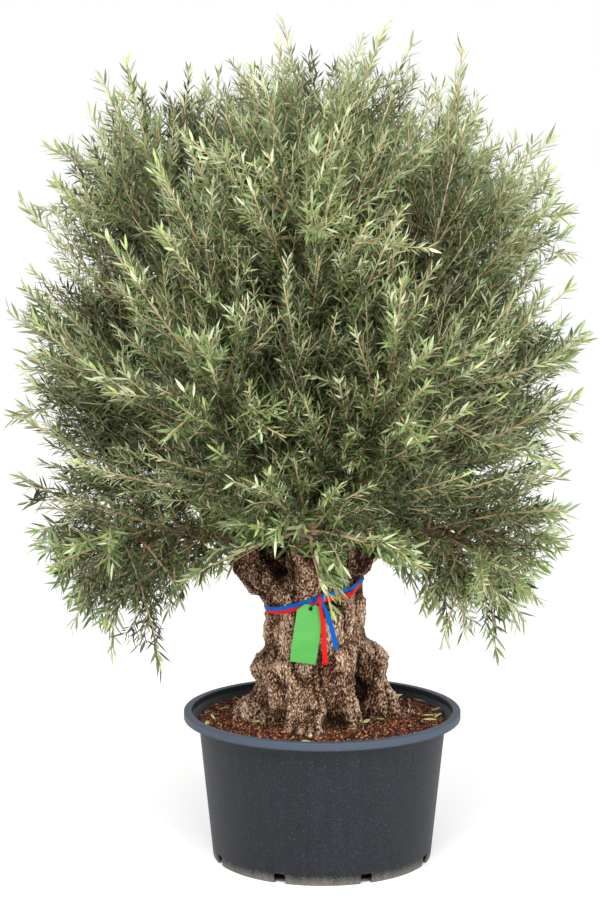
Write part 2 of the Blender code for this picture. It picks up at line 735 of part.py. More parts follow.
def slab_points(thing, low, high):
    """Plan points of the thing's mesh between two tilted planes, cut edges included."""
    mesh = thing.data
    count = len(mesh.vertices)
    places = np.empty(count * 3)
    mesh.vertices.foreach_get("co", places)
    places = places.reshape(-1, 3)
    level = places[:, 2] - BAND_SLOPE * places[:, 0]
    found = [places[(level >= low) & (level <= high), :2]]
    edges = np.array([edge.vertices[:] for edge in mesh.edges])
    first, second = level[edges[:, 0]], level[edges[:, 1]]
    for plane in (low, high):
        crossing = (first - plane) * (second - plane) < 0
        start, end = places[edges[crossing, 0]], places[edges[crossing, 1]]
        share = (plane - first[crossing]) / (second - first)[crossing]
        found.append((start + (end - start) * share[:, None])[:, :2])
    return np.concatenate(found)


def taut_loop(points, offset):
    """A convex loop round plan points: where each two neighbouring tangent lines cross."""
    turns = np.linspace(0, 2 * math.pi, BAND_DIRECTIONS, endpoint=False)
    normals = np.stack([np.cos(turns), np.sin(turns)], axis=-1)
    support = np.max(points @ normals.T, axis=0) + offset
    after = np.roll(normals, -1, axis=0)
    support_after = np.roll(support, -1)
    cross = normals[:, 0] * after[:, 1] - normals[:, 1] * after[:, 0]
    x = (support * after[:, 1] - support_after * normals[:, 1]) / cross
    y = (normals[:, 0] * support_after - after[:, 0] * support) / cross
    return np.stack([x, y], axis=-1)


def near_corners(loop):
    """Groups of a loop's corners that are so close together that they count as one."""
    groups = [[0]]
    for index in range(1, len(loop)):
        if np.linalg.norm(loop[index] - loop[groups[-1][0]]) < BAND_SHORTEST_EDGE:
            groups[-1].append(index)
        else:
            groups.append([index])
    if np.linalg.norm(loop[groups[-1][-1]] - loop[0]) < BAND_SHORTEST_EDGE:
        groups[0] += groups.pop()
    return groups


def build_band(name, trunk, middle, finish):
    """A flat band pulled taut round the waist, its plane sloping up to the right."""
    low, high = middle - BAND_WIDTH / 2, middle + BAND_WIDTH / 2
    points = slab_points(trunk, low, high)
    inner = taut_loop(points, BAND_OFFSET)
    outer = taut_loop(points, BAND_OFFSET + BAND_THICKNESS)
    groups = near_corners(outer)
    inner = np.array([inner[group].mean(axis=0) for group in groups])
    outer = np.array([outer[group].mean(axis=0) for group in groups])
    corners = []
    for loop, level in ((inner, low), (outer, low), (outer, high), (inner, high)):
        height = level + BAND_SLOPE * loop[:, 0]
        corners.append(np.concatenate([loop, height[:, None]], axis=1))
    count = len(groups)
    faces = []
    for corner in range(4):
        after = (corner + 1) % 4
        for index in range(count):
            ahead = (index + 1) % count
            faces.append((
                corner * count + index,
                corner * count + ahead,
                after * count + ahead,
                after * count + index,
            ))
    return solid(name, np.concatenate(corners), faces, finish)


def front_of(things, x_range, z_range):
    """The foremost Y along the edges of these things inside a window seen from the front."""
    foremost = []
    shares = np.linspace(0, 1, 25)[:, None, None]
    for thing in things:
        places = np.array([vertex.co[:] for vertex in thing.data.vertices])
        start, end = places[[edge.vertices[:] for edge in thing.data.edges]].swapaxes(0, 1)
        x, y, z = np.moveaxis(start + (end - start) * shares, -1, 0)
        seen = (x > x_range[0]) & (x < x_range[1]) & (z > z_range[0]) & (z < z_range[1])
        foremost.append(y[seen].min())
    return min(foremost)


def build_knot(front, finish):
    """The small knot in front of the bands, with a flat underside that the tails hang from."""
    middle_y = front - CLEAR - KNOT_SIZE[1] / 2
    angles = 2 * math.pi * (np.arange(KNOT_SIDES) + 0.5) / KNOT_SIDES
    widest = math.cos(math.pi / KNOT_SIDES)
    rings = []
    for rise, share in KNOT_ROWS:
        x = KNOT_PLACE + KNOT_SIZE[0] / 2 * share * np.cos(angles) / widest
        y = middle_y + KNOT_SIZE[1] / 2 * share * np.sin(angles) / widest
        z = np.full(KNOT_SIDES, KNOT_FOOT_HEIGHT + KNOT_SIZE[2] * rise)
        rings.append(np.stack([x, y, z], axis=-1))
    return skin("ribbon_knot", rings, finish)


def build_tail(name, tail, front, finish):
    """A flat tail hanging from under the knot, bowed to one side and a little forward."""
    top = KNOT_FOOT_HEIGHT - CLEAR
    shares = np.linspace(1, 0, TAIL_ROWS)
    x = tail.top + (tail.end - tail.top) * shares + tail.bow * np.sin(math.pi * shares)
    z = top + (tail.end_height - top) * shares
    y = front - TAIL_THICKNESS / 2 - TAIL_BOW * np.sin(math.pi * shares)
    half_width = (TAIL_TOP_WIDTH + (TAIL_FOOT_WIDTH - TAIL_TOP_WIDTH) * np.sqrt(shares)) / 2
    corners = ((-1, 1), (-1, -1), (1, -1), (1, 1))
    sides = [
        np.stack([x + across * half_width, y + forward * TAIL_THICKNESS / 2, z], axis=-1)
        for across, forward in corners
    ]
    return skin(name, np.stack(sides, axis=1), finish)


def build_tag(front, finish):
    """The bare tag: a plate with clipped top corners and a round eyelet, leaning as it hangs."""
    half = TAG_WIDTH / 2
    below = TAG_LENGTH - TAG_EYELET_BELOW_TOP
    above = TAG_EYELET_BELOW_TOP
    outline = [
        (-half, -below), (half, -below), (half, above - TAG_CLIP),
        (half - TAG_CLIP, above), (TAG_CLIP - half, above), (-half, above - TAG_CLIP),
    ]
    lean = math.radians(TAG_LEAN)

    def place(across, up, y):
        x = TAG_EYELET[0] + across * math.cos(lean) + up * math.sin(lean)
        z = TAG_EYELET[1] - across * math.sin(lean) + up * math.cos(lean)
        return x, y, z

    front_y = front - TAG_THICKNESS
    rings = [[place(*point, y) for point in outline] for y in (front, front_y)]
    tag = skin("tag", rings, finish)
    punch = primitive(
        "punch", bmesh.ops.create_cone, cap_ends=True, segments=12,
        radius1=TAG_EYELET_RADIUS, radius2=TAG_EYELET_RADIUS, depth=0.02,
    )
    for vertex in punch.data.vertices:
        vertex.co = place(vertex.co.x, vertex.co.y, front - TAG_THICKNESS / 2 - vertex.co.z)
    punch.hide_render = True
    punch.display_type = "WIRE"
    hole = tag.modifiers.new("Eyelet", "BOOLEAN")
    hole.operation = "DIFFERENCE"
    hole.object = punch
    return tag


def build_string(front, knot_front, finish):
    """The tag's string: from the knot through the eyelet and back."""
    hang = TAG_EYELET_RADIUS * math.cos(math.pi / 12) - STRING_RADIUS - CLEAR
    lean = math.radians(TAG_LEAN)
    low = np.array([
        TAG_EYELET[0] + hang * math.sin(lean),
        front - TAG_THICKNESS / 2,
        TAG_EYELET[1] + hang * math.cos(lean),
    ])
    knot_middle_y = knot_front - CLEAR - KNOT_SIZE[1] / 2
    top = np.array([STRING_PLACE, knot_middle_y, KNOT_FOOT_HEIGHT - CLEAR])
    out = np.array([0.0, STRING_REACH, 0.0])
    drop = np.array([0.0, 0.0, -STRING_END])
    rise = np.array(STRING_RISE)
    beside = out * STRING_IN_EYELET
    route = [top - out, top - out + drop, low - out + rise, low - beside, low]
    route += [low + beside, low + out + rise, top + out + drop, top + out]
    return tube("tag_string", np.array(route), STRING_RADIUS, STRING_SIDES, finish)


def tube(name, route, radius, sides, finish):
    """A round tube of even radius along a route."""
    along = unit(np.gradient(route, axis=0))
    angles = np.linspace(0, 2 * math.pi, sides, endpoint=False)
    across = unit(np.cross(along, [1.0, 0.0, 0.05]))
    around = np.cross(along, across)
    outward = (
        across[:, None] * np.cos(angles)[None, :, None]
        + around[:, None] * np.sin(angles)[None, :, None]
    )
    return skin(name, route[:, None] + outward * radius, finish)


def build():
    """Builds every piece of the tree."""
    remove_everything()
    bark = material("bark", (0.20, 0.13, 0.09), 0.90)
    leaves = material("leaves", (0.16, 0.20, 0.10), 0.60)
    slate = material("slate plastic", (0.045, 0.052, 0.065), 0.55)
    earth = material("bark soil", (0.12, 0.045, 0.020), 0.95)
    blue = material("blue ribbon", (0.010, 0.17, 0.66), 0.45)
    red = material("red ribbon", (0.75, 0.045, 0.035), 0.45)
    green = material("green card", (0.13, 0.56, 0.13), 0.50)
    dark = material("dark string", (0.02, 0.05, 0.05), 0.70)

    build_pot(slate)
    build_soil(earth)
    limbs = bough_limbs()
    trunk = build_trunk(limbs, bark)
    for name, limb in limbs.items():
        build_bough(name, limb, bark)

    stretches = [limb.samples(0, bough_end(limb)) for limb in limbs.values()]
    for arm in ARMS.values():
        limb = Limb(*arm)
        stretches.append(limb.samples(0, limb.length))
    obstacles = tuple(np.concatenate(list(parts)) for parts in zip(*stretches))
    sleeves = limb_sleeves(limbs)
    for name, limb in limbs.items():
        build_mass(name, limb, Space(name, obstacles), sleeves, leaves)
    scattered(sleeves)

    half_band = (BAND_WIDTH + CLEAR) / 2
    upper = build_band("ribbon_blue", trunk, BAND_MIDDLE_HEIGHT + half_band, blue)
    lower = build_band("ribbon_red", trunk, BAND_MIDDLE_HEIGHT - half_band, red)
    band_front = front_of((upper, lower), *KNOT_WINDOW)
    build_knot(band_front, blue)
    front = front_of((trunk, upper, lower), *TAG_WINDOW)
    build_tail("ribbon_tail_red", RED_TAIL, front - TAIL_CLEARANCE, red)
    build_tail("ribbon_tail_blue", BLUE_TAIL, front - TAIL_CLEARANCE, blue)
    build_tag(front - TAG_CLEARANCE, green)
    build_string(front - TAG_CLEARANCE, band_front, dark)


build()
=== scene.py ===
"""The looks of an old potted olive tree: bark, boughs, twigs, leaves, pot, soil, ribbon and bare tag.

Metres, Z up. The middle of the pot's flat underside is the origin and the front faces -Y.
"""

import math
from collections import namedtuple
from itertools import product

import bpy
import numpy as np
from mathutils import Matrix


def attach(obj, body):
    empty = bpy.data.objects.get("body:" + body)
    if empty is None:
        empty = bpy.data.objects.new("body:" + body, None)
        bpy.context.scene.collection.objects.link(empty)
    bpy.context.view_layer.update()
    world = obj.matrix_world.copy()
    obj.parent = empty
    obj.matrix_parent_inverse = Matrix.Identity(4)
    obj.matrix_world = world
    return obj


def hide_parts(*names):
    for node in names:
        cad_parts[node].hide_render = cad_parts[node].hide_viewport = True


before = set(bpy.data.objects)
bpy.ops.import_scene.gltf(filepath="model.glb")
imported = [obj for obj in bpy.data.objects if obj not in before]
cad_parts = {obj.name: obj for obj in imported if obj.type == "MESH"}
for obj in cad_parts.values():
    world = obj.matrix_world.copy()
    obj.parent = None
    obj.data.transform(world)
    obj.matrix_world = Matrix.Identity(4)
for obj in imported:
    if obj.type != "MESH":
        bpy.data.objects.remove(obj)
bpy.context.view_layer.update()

SEED = 7
CROWN_SEED = 100
LITTER_SEED = 200
# A steep direction that hardly any growth follows, from which square directions are found.
STEEP = (0.12, 0.34, 0.93)
UP = np.array([0.0, 0.0, 1.0])
GOLDEN_TURN = math.pi * (3 - math.sqrt(5))
MILLIMETRE = 0.001
FAR = 9.0
WHITE = (1.0, 1.0, 1.0, 1.0)

# Camera: fitted to the pot's rim and foot; the focal length is in heights of the picture.
CAMERA_PLACE = (-0.064, -6.588, 2.0546)
CAMERA_PITCH = 0.1314
CAMERA_FOCUS = 2329 / 900
CAMERA_SENSOR = 36.0
CAMERA_SIGHT = 200.0

Lamp = namedtuple("Lamp", "place size power")
LAMPS = {"key": Lamp((-0.9, -3.3, 4.4), 4.0, 250.0), "fill": Lamp((2.8, -3.2, 2.2), 2.4, 80.0)}
LAMP_AIM = (-0.05, 0.0, 1.2)
FLOOR_REACH = 150.0
FLOOR_COLOUR = (0.82, 0.82, 0.82, 1.0)
FLOOR_GLOW = 0.20

# Pot, in the sizes of the part's source.
POT_HEIGHT = 0.430
POT_RIM_RADIUS = 0.400
POT_MOUTH_RADIUS = 0.377
POT_RIM_DEPTH = 0.024
POT_SHOULDER_RADIUS = 0.358
POT_SHOULDER_DEPTH = 0.012
POT_FOOT_RADIUS = 0.317
POT_WALL = 0.005
POT_FLOOR = 0.006
POT_SIDES = 256
POT_SHARP_ANGLE = math.radians(40)
WALL_STRETCH = (0.04, 0.985)
WALL_ROWS = 22
MOUTH_DEPTH = 0.016
RIM_TUCK_REACH = 0.004
RIM_TUCK_DROP = 0.001
RIM_UNDERCUT = 0.006
RIM_FOOT_ROUNDING = 0.003
RIM_FOOT_START = -1.2
RIM_TOP_ROUNDING = 0.004
LIP_ROUNDING = 0.003
FOOT_ROUNDING = 0.004
ROUNDING_POINTS = 5
RIM_TOP_POINTS = 7
NOTCH_COUNT = 8
NOTCH_SIZE = (0.044, 0.035, 0.029)
NOTCH_ROUNDING = 0.007
# Where the pot's finish changes: the dusty foot, the painted highlight on the rim and the painted shade
# inside.
DUST_HEIGHT = 0.050
RIM_HIGHLIGHT_START = (0.404, 0.412)
INSIDE_REACHES = (0.3775, 0.3795)
INSIDE_HEIGHTS = (0.396, 0.400)

# Soil: a crumbly surface below the rim, with bark chips and a few fallen leaves on it.
SOIL_LEVEL = 0.400
SOIL_CHAMFER = 0.040
SOIL_RELIEF = 0.006
SOIL_WALL_GAP = 0.001
SOIL_FLOOR_GAP = 0.0005
SOIL_EDGE_DROP = 0.010
SOIL_TOP_DROP = 0.004
SOIL_TOP_INSET = 0.003
SOIL_TOP_MIDDLE = 0.02
SOIL_TOP_ROWS = 110
SOIL_SIDES = 300
LUMP_SIZE = 0.030
CRUMB_SIZE = 0.009
CRUMB_SHARE = 0.7
LUMP_MEAN = 0.85
LITTER_REACH = (0.10, 0.352)
LITTER_HEIGHT = 0.01
CHIP_COUNT = 11000
CHIP_SIZE = (0.0024, 0.0070)
CHIP_SHAPE = (1.0, 0.6, 0.42)
CHIP_STRETCH = (0.6, 1.2)
CHIP_SHAKE = 0.0005
CHIP_TILT = 0.45
CHIP_LIFT = (-0.003, 0.004)
FALLEN_LEAVES = 34
FALLEN_LIFT = 0.008
FALLEN_LENGTH = (0.036, 0.060)
FALLEN_WIDTH = (0.008, 0.012)
FALLEN_TILT = (-0.08, 0.08)
FALLEN_ROLL = 0.5

# Trunk, by the source's rule.
Root = namedtuple("Root", "azimuth width foot knob knob_height rib")
ROOTS = (
    Root(166, 15, 0.104, 0.022, 0.150, 0.006),
    Root(187, 11, 0.066, 0.034, 0.160, 0.008),
    Root(214, 12, 0.048, 0.036, 0.125, 0.002),
    Root(240, 9, 0.040, 0.006, 0.060, 0.002),
    Root(265, 16, 0.078, 0.010, 0.070, 0.012),
    Root(304, 11, 0.034, 0.014, 0.090, 0.008),
    Root(332, 10, -0.056, -0.040, 0.100, -0.014),
    Root(6, 16, 0.112, 0.048, 0.165, 0.004),
    Root(52, 16, 0.075, 0.030, 0.120, 0.012),
    Root(92, 14, 0.085, 0.016, 0.080, 0.004),
    Root(130, 14, 0.060, 0.036, 0.190, 0.010),
)
TRUNK_FOOT_MIDDLE = (-0.006, 0.025)
TRUNK_FORK_MIDDLE = (-0.022, 0.000)
TRUNK_HEIGHT = 0.420
TRUNK_WAIST_RADIUS = 0.134
TRUNK_WAIST_HEIGHT = 0.330
TRUNK_SPREAD = 0.22
FOOT_FADE = 0.085
FOOT_FADE_POWER = 1.3
KNOB_SPAN = 0.050
TRUNK_CLOSING_START = 0.9
TRUNK_CLOSING_SHARE = 0.35
TRUNK_TOP_MARGIN = 0.05
TRUNK_SINK = 0.012

Limb = namedtuple("Limb", "foot bend tip foot_radius tip_radius")
ARMS = {
    "left": Limb((-0.025, 0.00, 0.69), (-0.135, -0.015, 0.83), (-0.255, -0.025, 0.935), 0.094, 0.060),
    "right": Limb((-0.005, 0.01, 0.70), (0.035, 0.010, 0.84), (0.155, 0.000, 0.950), 0.078, 0.052),
    "front": Limb((-0.020, -0.02, 0.69), (-0.030, -0.070, 0.85), (-0.040, -0.150, 0.950), 0.090, 0.050),
    "back": Limb((-0.020, 0.02, 0.69), (-0.020, 0.080, 0.85), (-0.030, 0.170, 0.950), 0.095, 0.052),
    "middle": Limb((-0.020, 0.00, 0.69), (-0.040, 0.000, 0.92), (-0.050, 0.020, 1.120), 0.105, 0.056),
}
BURL_PLACE = (-0.150, -0.075, 0.835)
BURL_RADIUS = 0.048

# Meshes of the limbs: rows and sides, the voxels that melt them together, and where the arms part.
STUMP_GRID = (150, 300)
ARM_GRID = (26, 48)
BALL_GRID = (20, 32)
BALL_STRETCH = (-1.45, 1.45)
COLLAR_GRID = (10, 20)
BOUGH_GRID = (40, 10)
BARK_VOXEL = 0.0036
ARM_VOXEL = 0.0048
SOFTENING = 0.6
SOFTENING_STEPS = 6
ARM_SPLIT = 0.62
ARM_LAP = 0.04
COLLAR_SHARE = 0.22
COLLAR_SWELL = 1.25
BOUGH_KNOT_SIZE = 0.030
BOUGH_KNOT_DEPTH = 0.5

# Bark: the size of each noise, and the hollow beside the right buttress.
SWAY_SIZE = 0.060
SWAY_REACH = 0.040
FLAKE_SWAY_REACH = 0.010
KNOB_SIZE = (0.045, 0.045, 0.060)
KNOB_LIMITS = (0.34, 0.68)
FURROW_STRETCH = (1.0, 1.0, 0.34)
FURROW_SIZE = 0.040
FURROW_SHARPNESS = 5
RIDGE_SIZE = 0.013
FLAKE_STRETCH = (1.0, 1.0, 0.5)
FLAKE_SIZE = 0.0095
FLAKE_EDGE = 0.45
GRAIN_SIZE = 0.0045
VALLEY_RISE = 0.170
VALLEY_WIDENING = 1.5
HOLLOW_AZIMUTH = 326
HOLLOW_WIDTH = 9
HOLLOW_HEIGHT = 0.085
HOLLOW_RISE = 0.050
# The fissures between neighbouring arms, from just above the waist upwards.
FISSURE_WIDTH = 0.016
FISSURE_START = (0.38, 0.46)
FISSURE_STEPS = 25
# Painted shade: the bark grows darker with its height, towards the shade under the crown.
SHADED_STRETCH = (0.20, 0.52)
# Painted light: round the waist the bark is painted paler, from and to these heights above the ground.
WAIST_LIGHT_START = (0.58, 0.66)
WAIST_LIGHT_END = (0.70, 0.76)
# How far each form of the bark stands out, and how light it looks. The dark tones of furrows, valleys, the
# hollow and fissures are painted shade in these recesses, and the tone by height is painted shade under the
# crown.
BarkForm = namedtuple("BarkForm", "relief tone")
BARK_FORMS = {
    "level": BarkForm(-0.01005, 0.52),
    "knobs": BarkForm(0.017, 0.20),
    "furrows": BarkForm(-0.011, -0.42),
    "valleys": BarkForm(-0.013, -0.30),
    "hollow": BarkForm(-0.022, -1.00),
    "fissures": BarkForm(-0.012, -0.45),
    "ridges": BarkForm(0.003, 0.12),
    "flakes": BarkForm(0.003, 0.00),
    "flake tones": BarkForm(0.000, 0.16),
    "grain": BarkForm(0.0015, 0.20),
    "height": BarkForm(0.000, -0.22),
}

# Ribbon at the waist: the knot pulls the bands up a little, and they sag to its left.
BAND_HEIGHT = 0.774
BAND_SLOPE = 0.25
BAND_WIDTH = 0.0118
BAND_PULL = 0.009
BAND_SAG = 0.008
BAND_SAG_PLACE = -0.140
BAND_REACH = 0.045
BAND_THICKNESS = 0.0012
BAND_GAP = 0.0003
BAND_LIFT = 0.0004
BAND_POINTS = 240
BAND_LEAST_FACING = 0.1
STRAP_SIDES = 8
KNOT_PLACE = -0.009
KNOT_HALF_WIDTH = 0.02
FOLD_POINTS = 24
# The knot's folds and the loose tails, in millimetres from the knot's middle.
Fold = namedtuple("Fold", "colour node stops across widths thickness")
FOLDS = {
    "knot_wrap": Fold(
        "red", "ribbon_knot", ((1, 0, 11), (0, -6, 9), (0, -8.5, 0), (1, -6, -8), (2, 0, -10)),
        (1, 0, 0), (8, 11, 10), 2.2,
    ),
    "knot_fold": Fold(
        "blue", "ribbon_knot",
        ((6, -1, 4), (-4, -4.5, 4), (-13, -6.5, 1), (-15, -3, -4), (-4, -2.5, -5), (6, -1, -4)),
        (0, 0.25, 1), (6, 11, 9, 6), 1.6,
    ),
    "knot_back": Fold(
        "blue", "ribbon_knot", ((-16, -1.4, -3), (0, -3, 0), (16, -1.4, 4)),
        (-BAND_SLOPE, 0, 1), (11, 13, 11), 1.6,
    ),
    "tail_red": Fold(
        "red", "ribbon_tail_red",
        ((0, -4, -2), (4, -6, -30), (10, -5, -70), (13, -5.5, -127), (16.5, -4.5, -187)),
        (1, 0, 0.08), (7, 10, 13, 15, 15), 1.2,
    ),
    "tail_blue": Fold(
        "blue", "ribbon_tail_blue",
        ((3, -3, -1), (16, -8.5, -26), (30, -8, -66), (40, -6, -107), (47, -4.5, -141)),
        (1, 0, 0.32), (7, 11, 14, 15, 15), 1.2,
    ),
}

# The bare tag, on a string of two strands.
TAG_WIDTH = 0.075
TAG_HEIGHT = 0.169
TAG_THICKNESS = 0.002
TAG_BEVEL = 0.0004
TAG_CLIP = 0.020
TAG_LEAN = math.radians(-8.3)
TAG_EYELET = (-0.034, 0.754)
TAG_EYELET_DROP = 0.012
TAG_HOLE = 0.0042
TAG_FRONT = -0.1533
TAG_CLEARANCE = 0.0015
TAG_BACK_HALF_WIDTH = 0.07
TAG_BACK_HEIGHTS = (0.60, 0.78)
TAG_POINTS = 144
TAG_LEAST_FACING = 1e-6
TAG_FACE_RINGS = (0.15, 0.5, 1.0)
EYELET_SHARE = 1.12
EYELET_WIDTH = 0.0038
EYELET_THICKNESS = 0.0022
STRING_THICKNESS = 0.00198
STRING_POINTS = 26
STRING_TOP = (-0.010, -0.006, 0.002)
STRING_TURN = 5.5 * math.pi
STRING_TURN_RADIUS = 0.0008

# Foliage, by the source's rule: each mass has a middle and a bough from one arm.
Mass = namedtuple("Mass", "middle arm bend lift")
MASSES = {
    "low_left": Mass((-0.580, -0.120, 0.920), "left", (-0.43, -0.08, 0.98), -0.35),
    "left": Mass((-0.590, 0.020, 1.430), "left", (-0.46, 0.05, 1.10), 0.15),
    "top_left": Mass((-0.450, -0.050, 1.900), "left", (-0.28, -0.06, 1.38), 0.45),
    "low_right": Mass((0.460, -0.100, 0.910), "right", (0.32, -0.06, 0.98), -0.35),
    "right": Mass((0.450, 0.040, 1.390), "right", (0.34, 0.05, 1.10), 0.15),
    "top_right": Mass((0.380, -0.040, 1.860), "right", (0.17, -0.03, 1.36), 0.45),
    "low_front": Mass((-0.050, -0.460, 1.030), "front", (-0.05, -0.30, 1.00), -0.20),
    "front_left": Mass((-0.300, -0.440, 1.430), "front", (-0.17, -0.28, 1.16), 0.20),
    "front_right": Mass((0.190, -0.440, 1.420), "front", (0.08, -0.28, 1.16), 0.20),
    "low_back": Mass((-0.060, 0.500, 0.980), "back", (-0.05, 0.34, 1.00), -0.20),
    "back_left": Mass((-0.330, 0.450, 1.430), "back", (-0.17, 0.32, 1.18), 0.20),
    "back_right": Mass((0.220, 0.450, 1.420), "back", (0.08, 0.33, 1.18), 0.20),
    "top": Mass((-0.010, -0.020, 2.010), "middle", (-0.04, 0.01, 1.50), 0.60),
    "top_front": Mass((-0.060, -0.400, 1.860), "middle", (-0.06, -0.26, 1.45), 0.40),
    "top_back": Mass((-0.040, 0.400, 1.880), "middle", (-0.05, 0.30, 1.45), 0.40),
}
MIDDLES = np.array([mass.middle for mass in MASSES.values()])
STEM_LENGTH = 0.130
BOUGH_FOOT_RADIUS = 0.026
STEM_TIP_RADIUS = 0.007

CROWN_MIDDLE = (-0.064, 0.000, 1.450)
CROWN_HALF_WIDTH = 0.825
CROWN_HALF_DEPTH = 0.750
CROWN_RISE = 0.965
CROWN_DROP = 1.000
CROWN_POWER = 2.7
CROWN_LOWEST = 0.552
CROWN_HEART = (-0.050, 0.000, 1.000)
ARCH_MIDDLE = -0.045
ARCH_HEIGHT = 0.930
ARCH_HALF_WIDTH = 0.190
ARCH_SLOPE = 1.6
# Leaves may stand a little out of the crown, but above and before the trunk they stay clear of the
# arch, more so the nearer to the front.
LEAF_OVERHANG = 0.013
ARCH_MARGIN = 0.004
ARCH_FRONT_RISE = 0.035
ARCH_EDGE = 0.030
# The part of the spray that is left to hang in front, narrower than the source's rule allows.
HANGING_PLACE = 0.030
HANGING_HALF_WIDTH = 0.048
SPRAY_PLACE = 0.055
SPRAY_HALF_WIDTH = 0.060
SPRAY_DROP = 0.150
UNDERSIDE_STEEPNESS = 0.6

# The source's fan of shoots, from the end of each bough.
MAIN_SHOOTS = 11
FAN_BACK = -0.10
FAN_START = 0.35
SPACE_MARGIN = 0.010
LIMB_MARGIN = 0.012
SAMPLE_STEP = 0.020
LIMB_STEPS = 65
REACH_STEP = 0.010
LONGEST_REACH = 1.200
SHOOT_FOOT_SPREAD = 0.10
SHOOT_TURN = 0.25
SHOOT_SHORTEST_SHARE = 0.95
SHOOT_BOW = 0.10
SHOOT_SAG = 0.06
SHORTEST_SHOOT = 0.200

# Finer growth than the source's: more shoots on the boughs, short ones that fill the heart and cover
# boughs and arms, then branches on all shoots and leafy twigs on the branches.
Order = namedtuple("Order", "spacing first last angle turn share least longest shortest margin fringe")
BOUGH_SHOOTS = Order(0.023, 0.14, 0.98, 58, 0.85, 0.80, 0.35, 0.85, 0.12, 0.020, 0.20)
HEART_SHOOTS = Order(0.017, 0.03, 0.85, 85, 0.05, 0.05, 0.24, 0.36, 0.08, 0.030, 0.50)
BRANCHES = Order(0.048, 0.10, 0.72, 31, 0.35, 0.58, 0.02, 0.28, 0.05, 0.018, 0.7)
COVER_SHOOTS = Order(0.0082, 0.08, 0.82, 80, 0.05, 0.00, 0.17, 0.17, 0.05, 0.006, 0.0)
ARM_SHOOTS = Order(0.013, 0.68, 1.00, 70, 0.05, 0.00, 0.16, 0.16, 0.05, 0.002, 0.0)
TWIGS = Order(0.053, 0.15, 0.80, 35, 0.20, 0.45, 0.025, 0.10, 0.030, 0.020, 0.7)
# How much the tips of side shoots are drawn up, or down on the low boughs, by their length.
PULL = 0.16
BOUGH_SHOOT_PULL_SHARE = 0.6
# Ranges of the draws that make side shoots uneven.
PLACE_SHIFT = (0.2, 0.8)
TURN_SHIFT = (-0.4, 0.4)
PARENT_TURN = 1.7
LEAN_SHARE = (0.8, 1.2)
LENGTH_SHARE = (0.75, 1.1)
MARGIN_SHARE = (0.2, 1.6)
# Shoots stop short of the room they have by up to this share, so that the crown's edge is open.
STOP_SHORT = 0.19
STOP_SHORT_POWER = 1.5
BEND_SHARE = 0.55
REACH_TESTS = np.linspace(0.05, 1, 20)
SHOOT_RADII = (0.0050, 0.0016)
SHOOT_GRID = (7, 4)
BRANCH_RADII = (0.0022, 0.0011)
BRANCH_GRID = (4, 3)
TWIG_RADII = (0.0013, 0.0008)
TWIG_GRID = (3, 3)
# Side shoots stay inside the crown's edge towards its top and its foot, where only tips reach it.
TOP_FRINGE = 0.17
TOP_FRINGE_START = 1.90
TOP_FRINGE_END = 2.40
LOW_FRINGE = 0.11
LOW_FRINGE_START = 0.98
LOW_FRINGE_END = 0.60

LEAF_LENGTH = 0.055
LEAF_WIDTH = 0.0090
LEAF_LENGTH_SHARE = (0.78, 1.12)
LEAF_WIDTH_SHARE = (0.8, 1.15)
LEAF_THICKNESS = 0.0007
LEAF_BEND = -0.10
LEAF_SPACING = 0.0143
LEAF_SINK = 0.0005
LEAF_CLEARANCE = 0.012
# Pairs open by so many degrees at the foot of a shoot, and by fewer towards its tip.
LEAF_OPENING = 52
LEAF_CLOSING = 28
LEAF_OPENING_SHIFT = (-10, 10)
LEAF_TURN_SHIFT = (-0.35, 0.35)
LEAF_PARENT_TURN = 0.9
LEAF_FORWARD = 0.9
LEAF_UPWARD = 0.5
LEAF_ROLL = 0.75
# Leaves start at this share of shoots, branches and twigs.
LEAFLESS_SHARES = (0.20, 0.10, 0.10)
INNER_ROOM = 0.085
INNER_LEAF_SHARE = 0.73
# In the crown's heart, which no view reaches, the leaves are fewer.
HEART_ROOM = 0.34
HEART_LEAVES = 0.5
# Leaves are tested against the limbs only within this reach and below this height.
LIMB_REACH = 0.40
LIMB_TOP = 1.15
TRIANGLES_A_PIECE = 190000

# Tones: each spray's own, with painted light and shade: lighter with its height and to the right, darker
# with its depth in the crown.
SHOOT_TONE = 0.6
SHOOT_TONE_SPREAD = 0.32
BRANCH_TONE_SPREAD = 0.28
TWIG_TONE_SPREAD = 0.25
TONE_LEVEL = 0.17
TONE_HEIGHT = 0.85
TONE_TOP = 2.4
TONE_SIDE = 0.18
TONE_DEPTH = -2.7
TONE_DEEPEST = 0.45
# Painted light: outer leaves are lighter than inner ones, and lighter still near the tips of outer shoots.
TONE_OUTER = 0.18
TONE_OUTER_TIP = 0.4
OUTER_TIP_START = 0.75
# The last leaves of most outer shoots are young: smaller, and in the palest tone.
YOUNG_START = 0.93
YOUNG_SHARE = 0.6
YOUNG_LEAF_SHARE = 0.80
YOUNG_TONE = 9


def rgb(red, green, blue):
    """A colour from its shares of 255 as seen on a screen: ((c + 0.055) / 1.055) ^ 2.4 each."""
    seen = np.array([red, green, blue]) / 255
    light = np.where(seen > 0.04045, ((seen + 0.055) / 1.055) ** 2.4, seen / 12.92)
    return (*light.tolist(), 1.0)


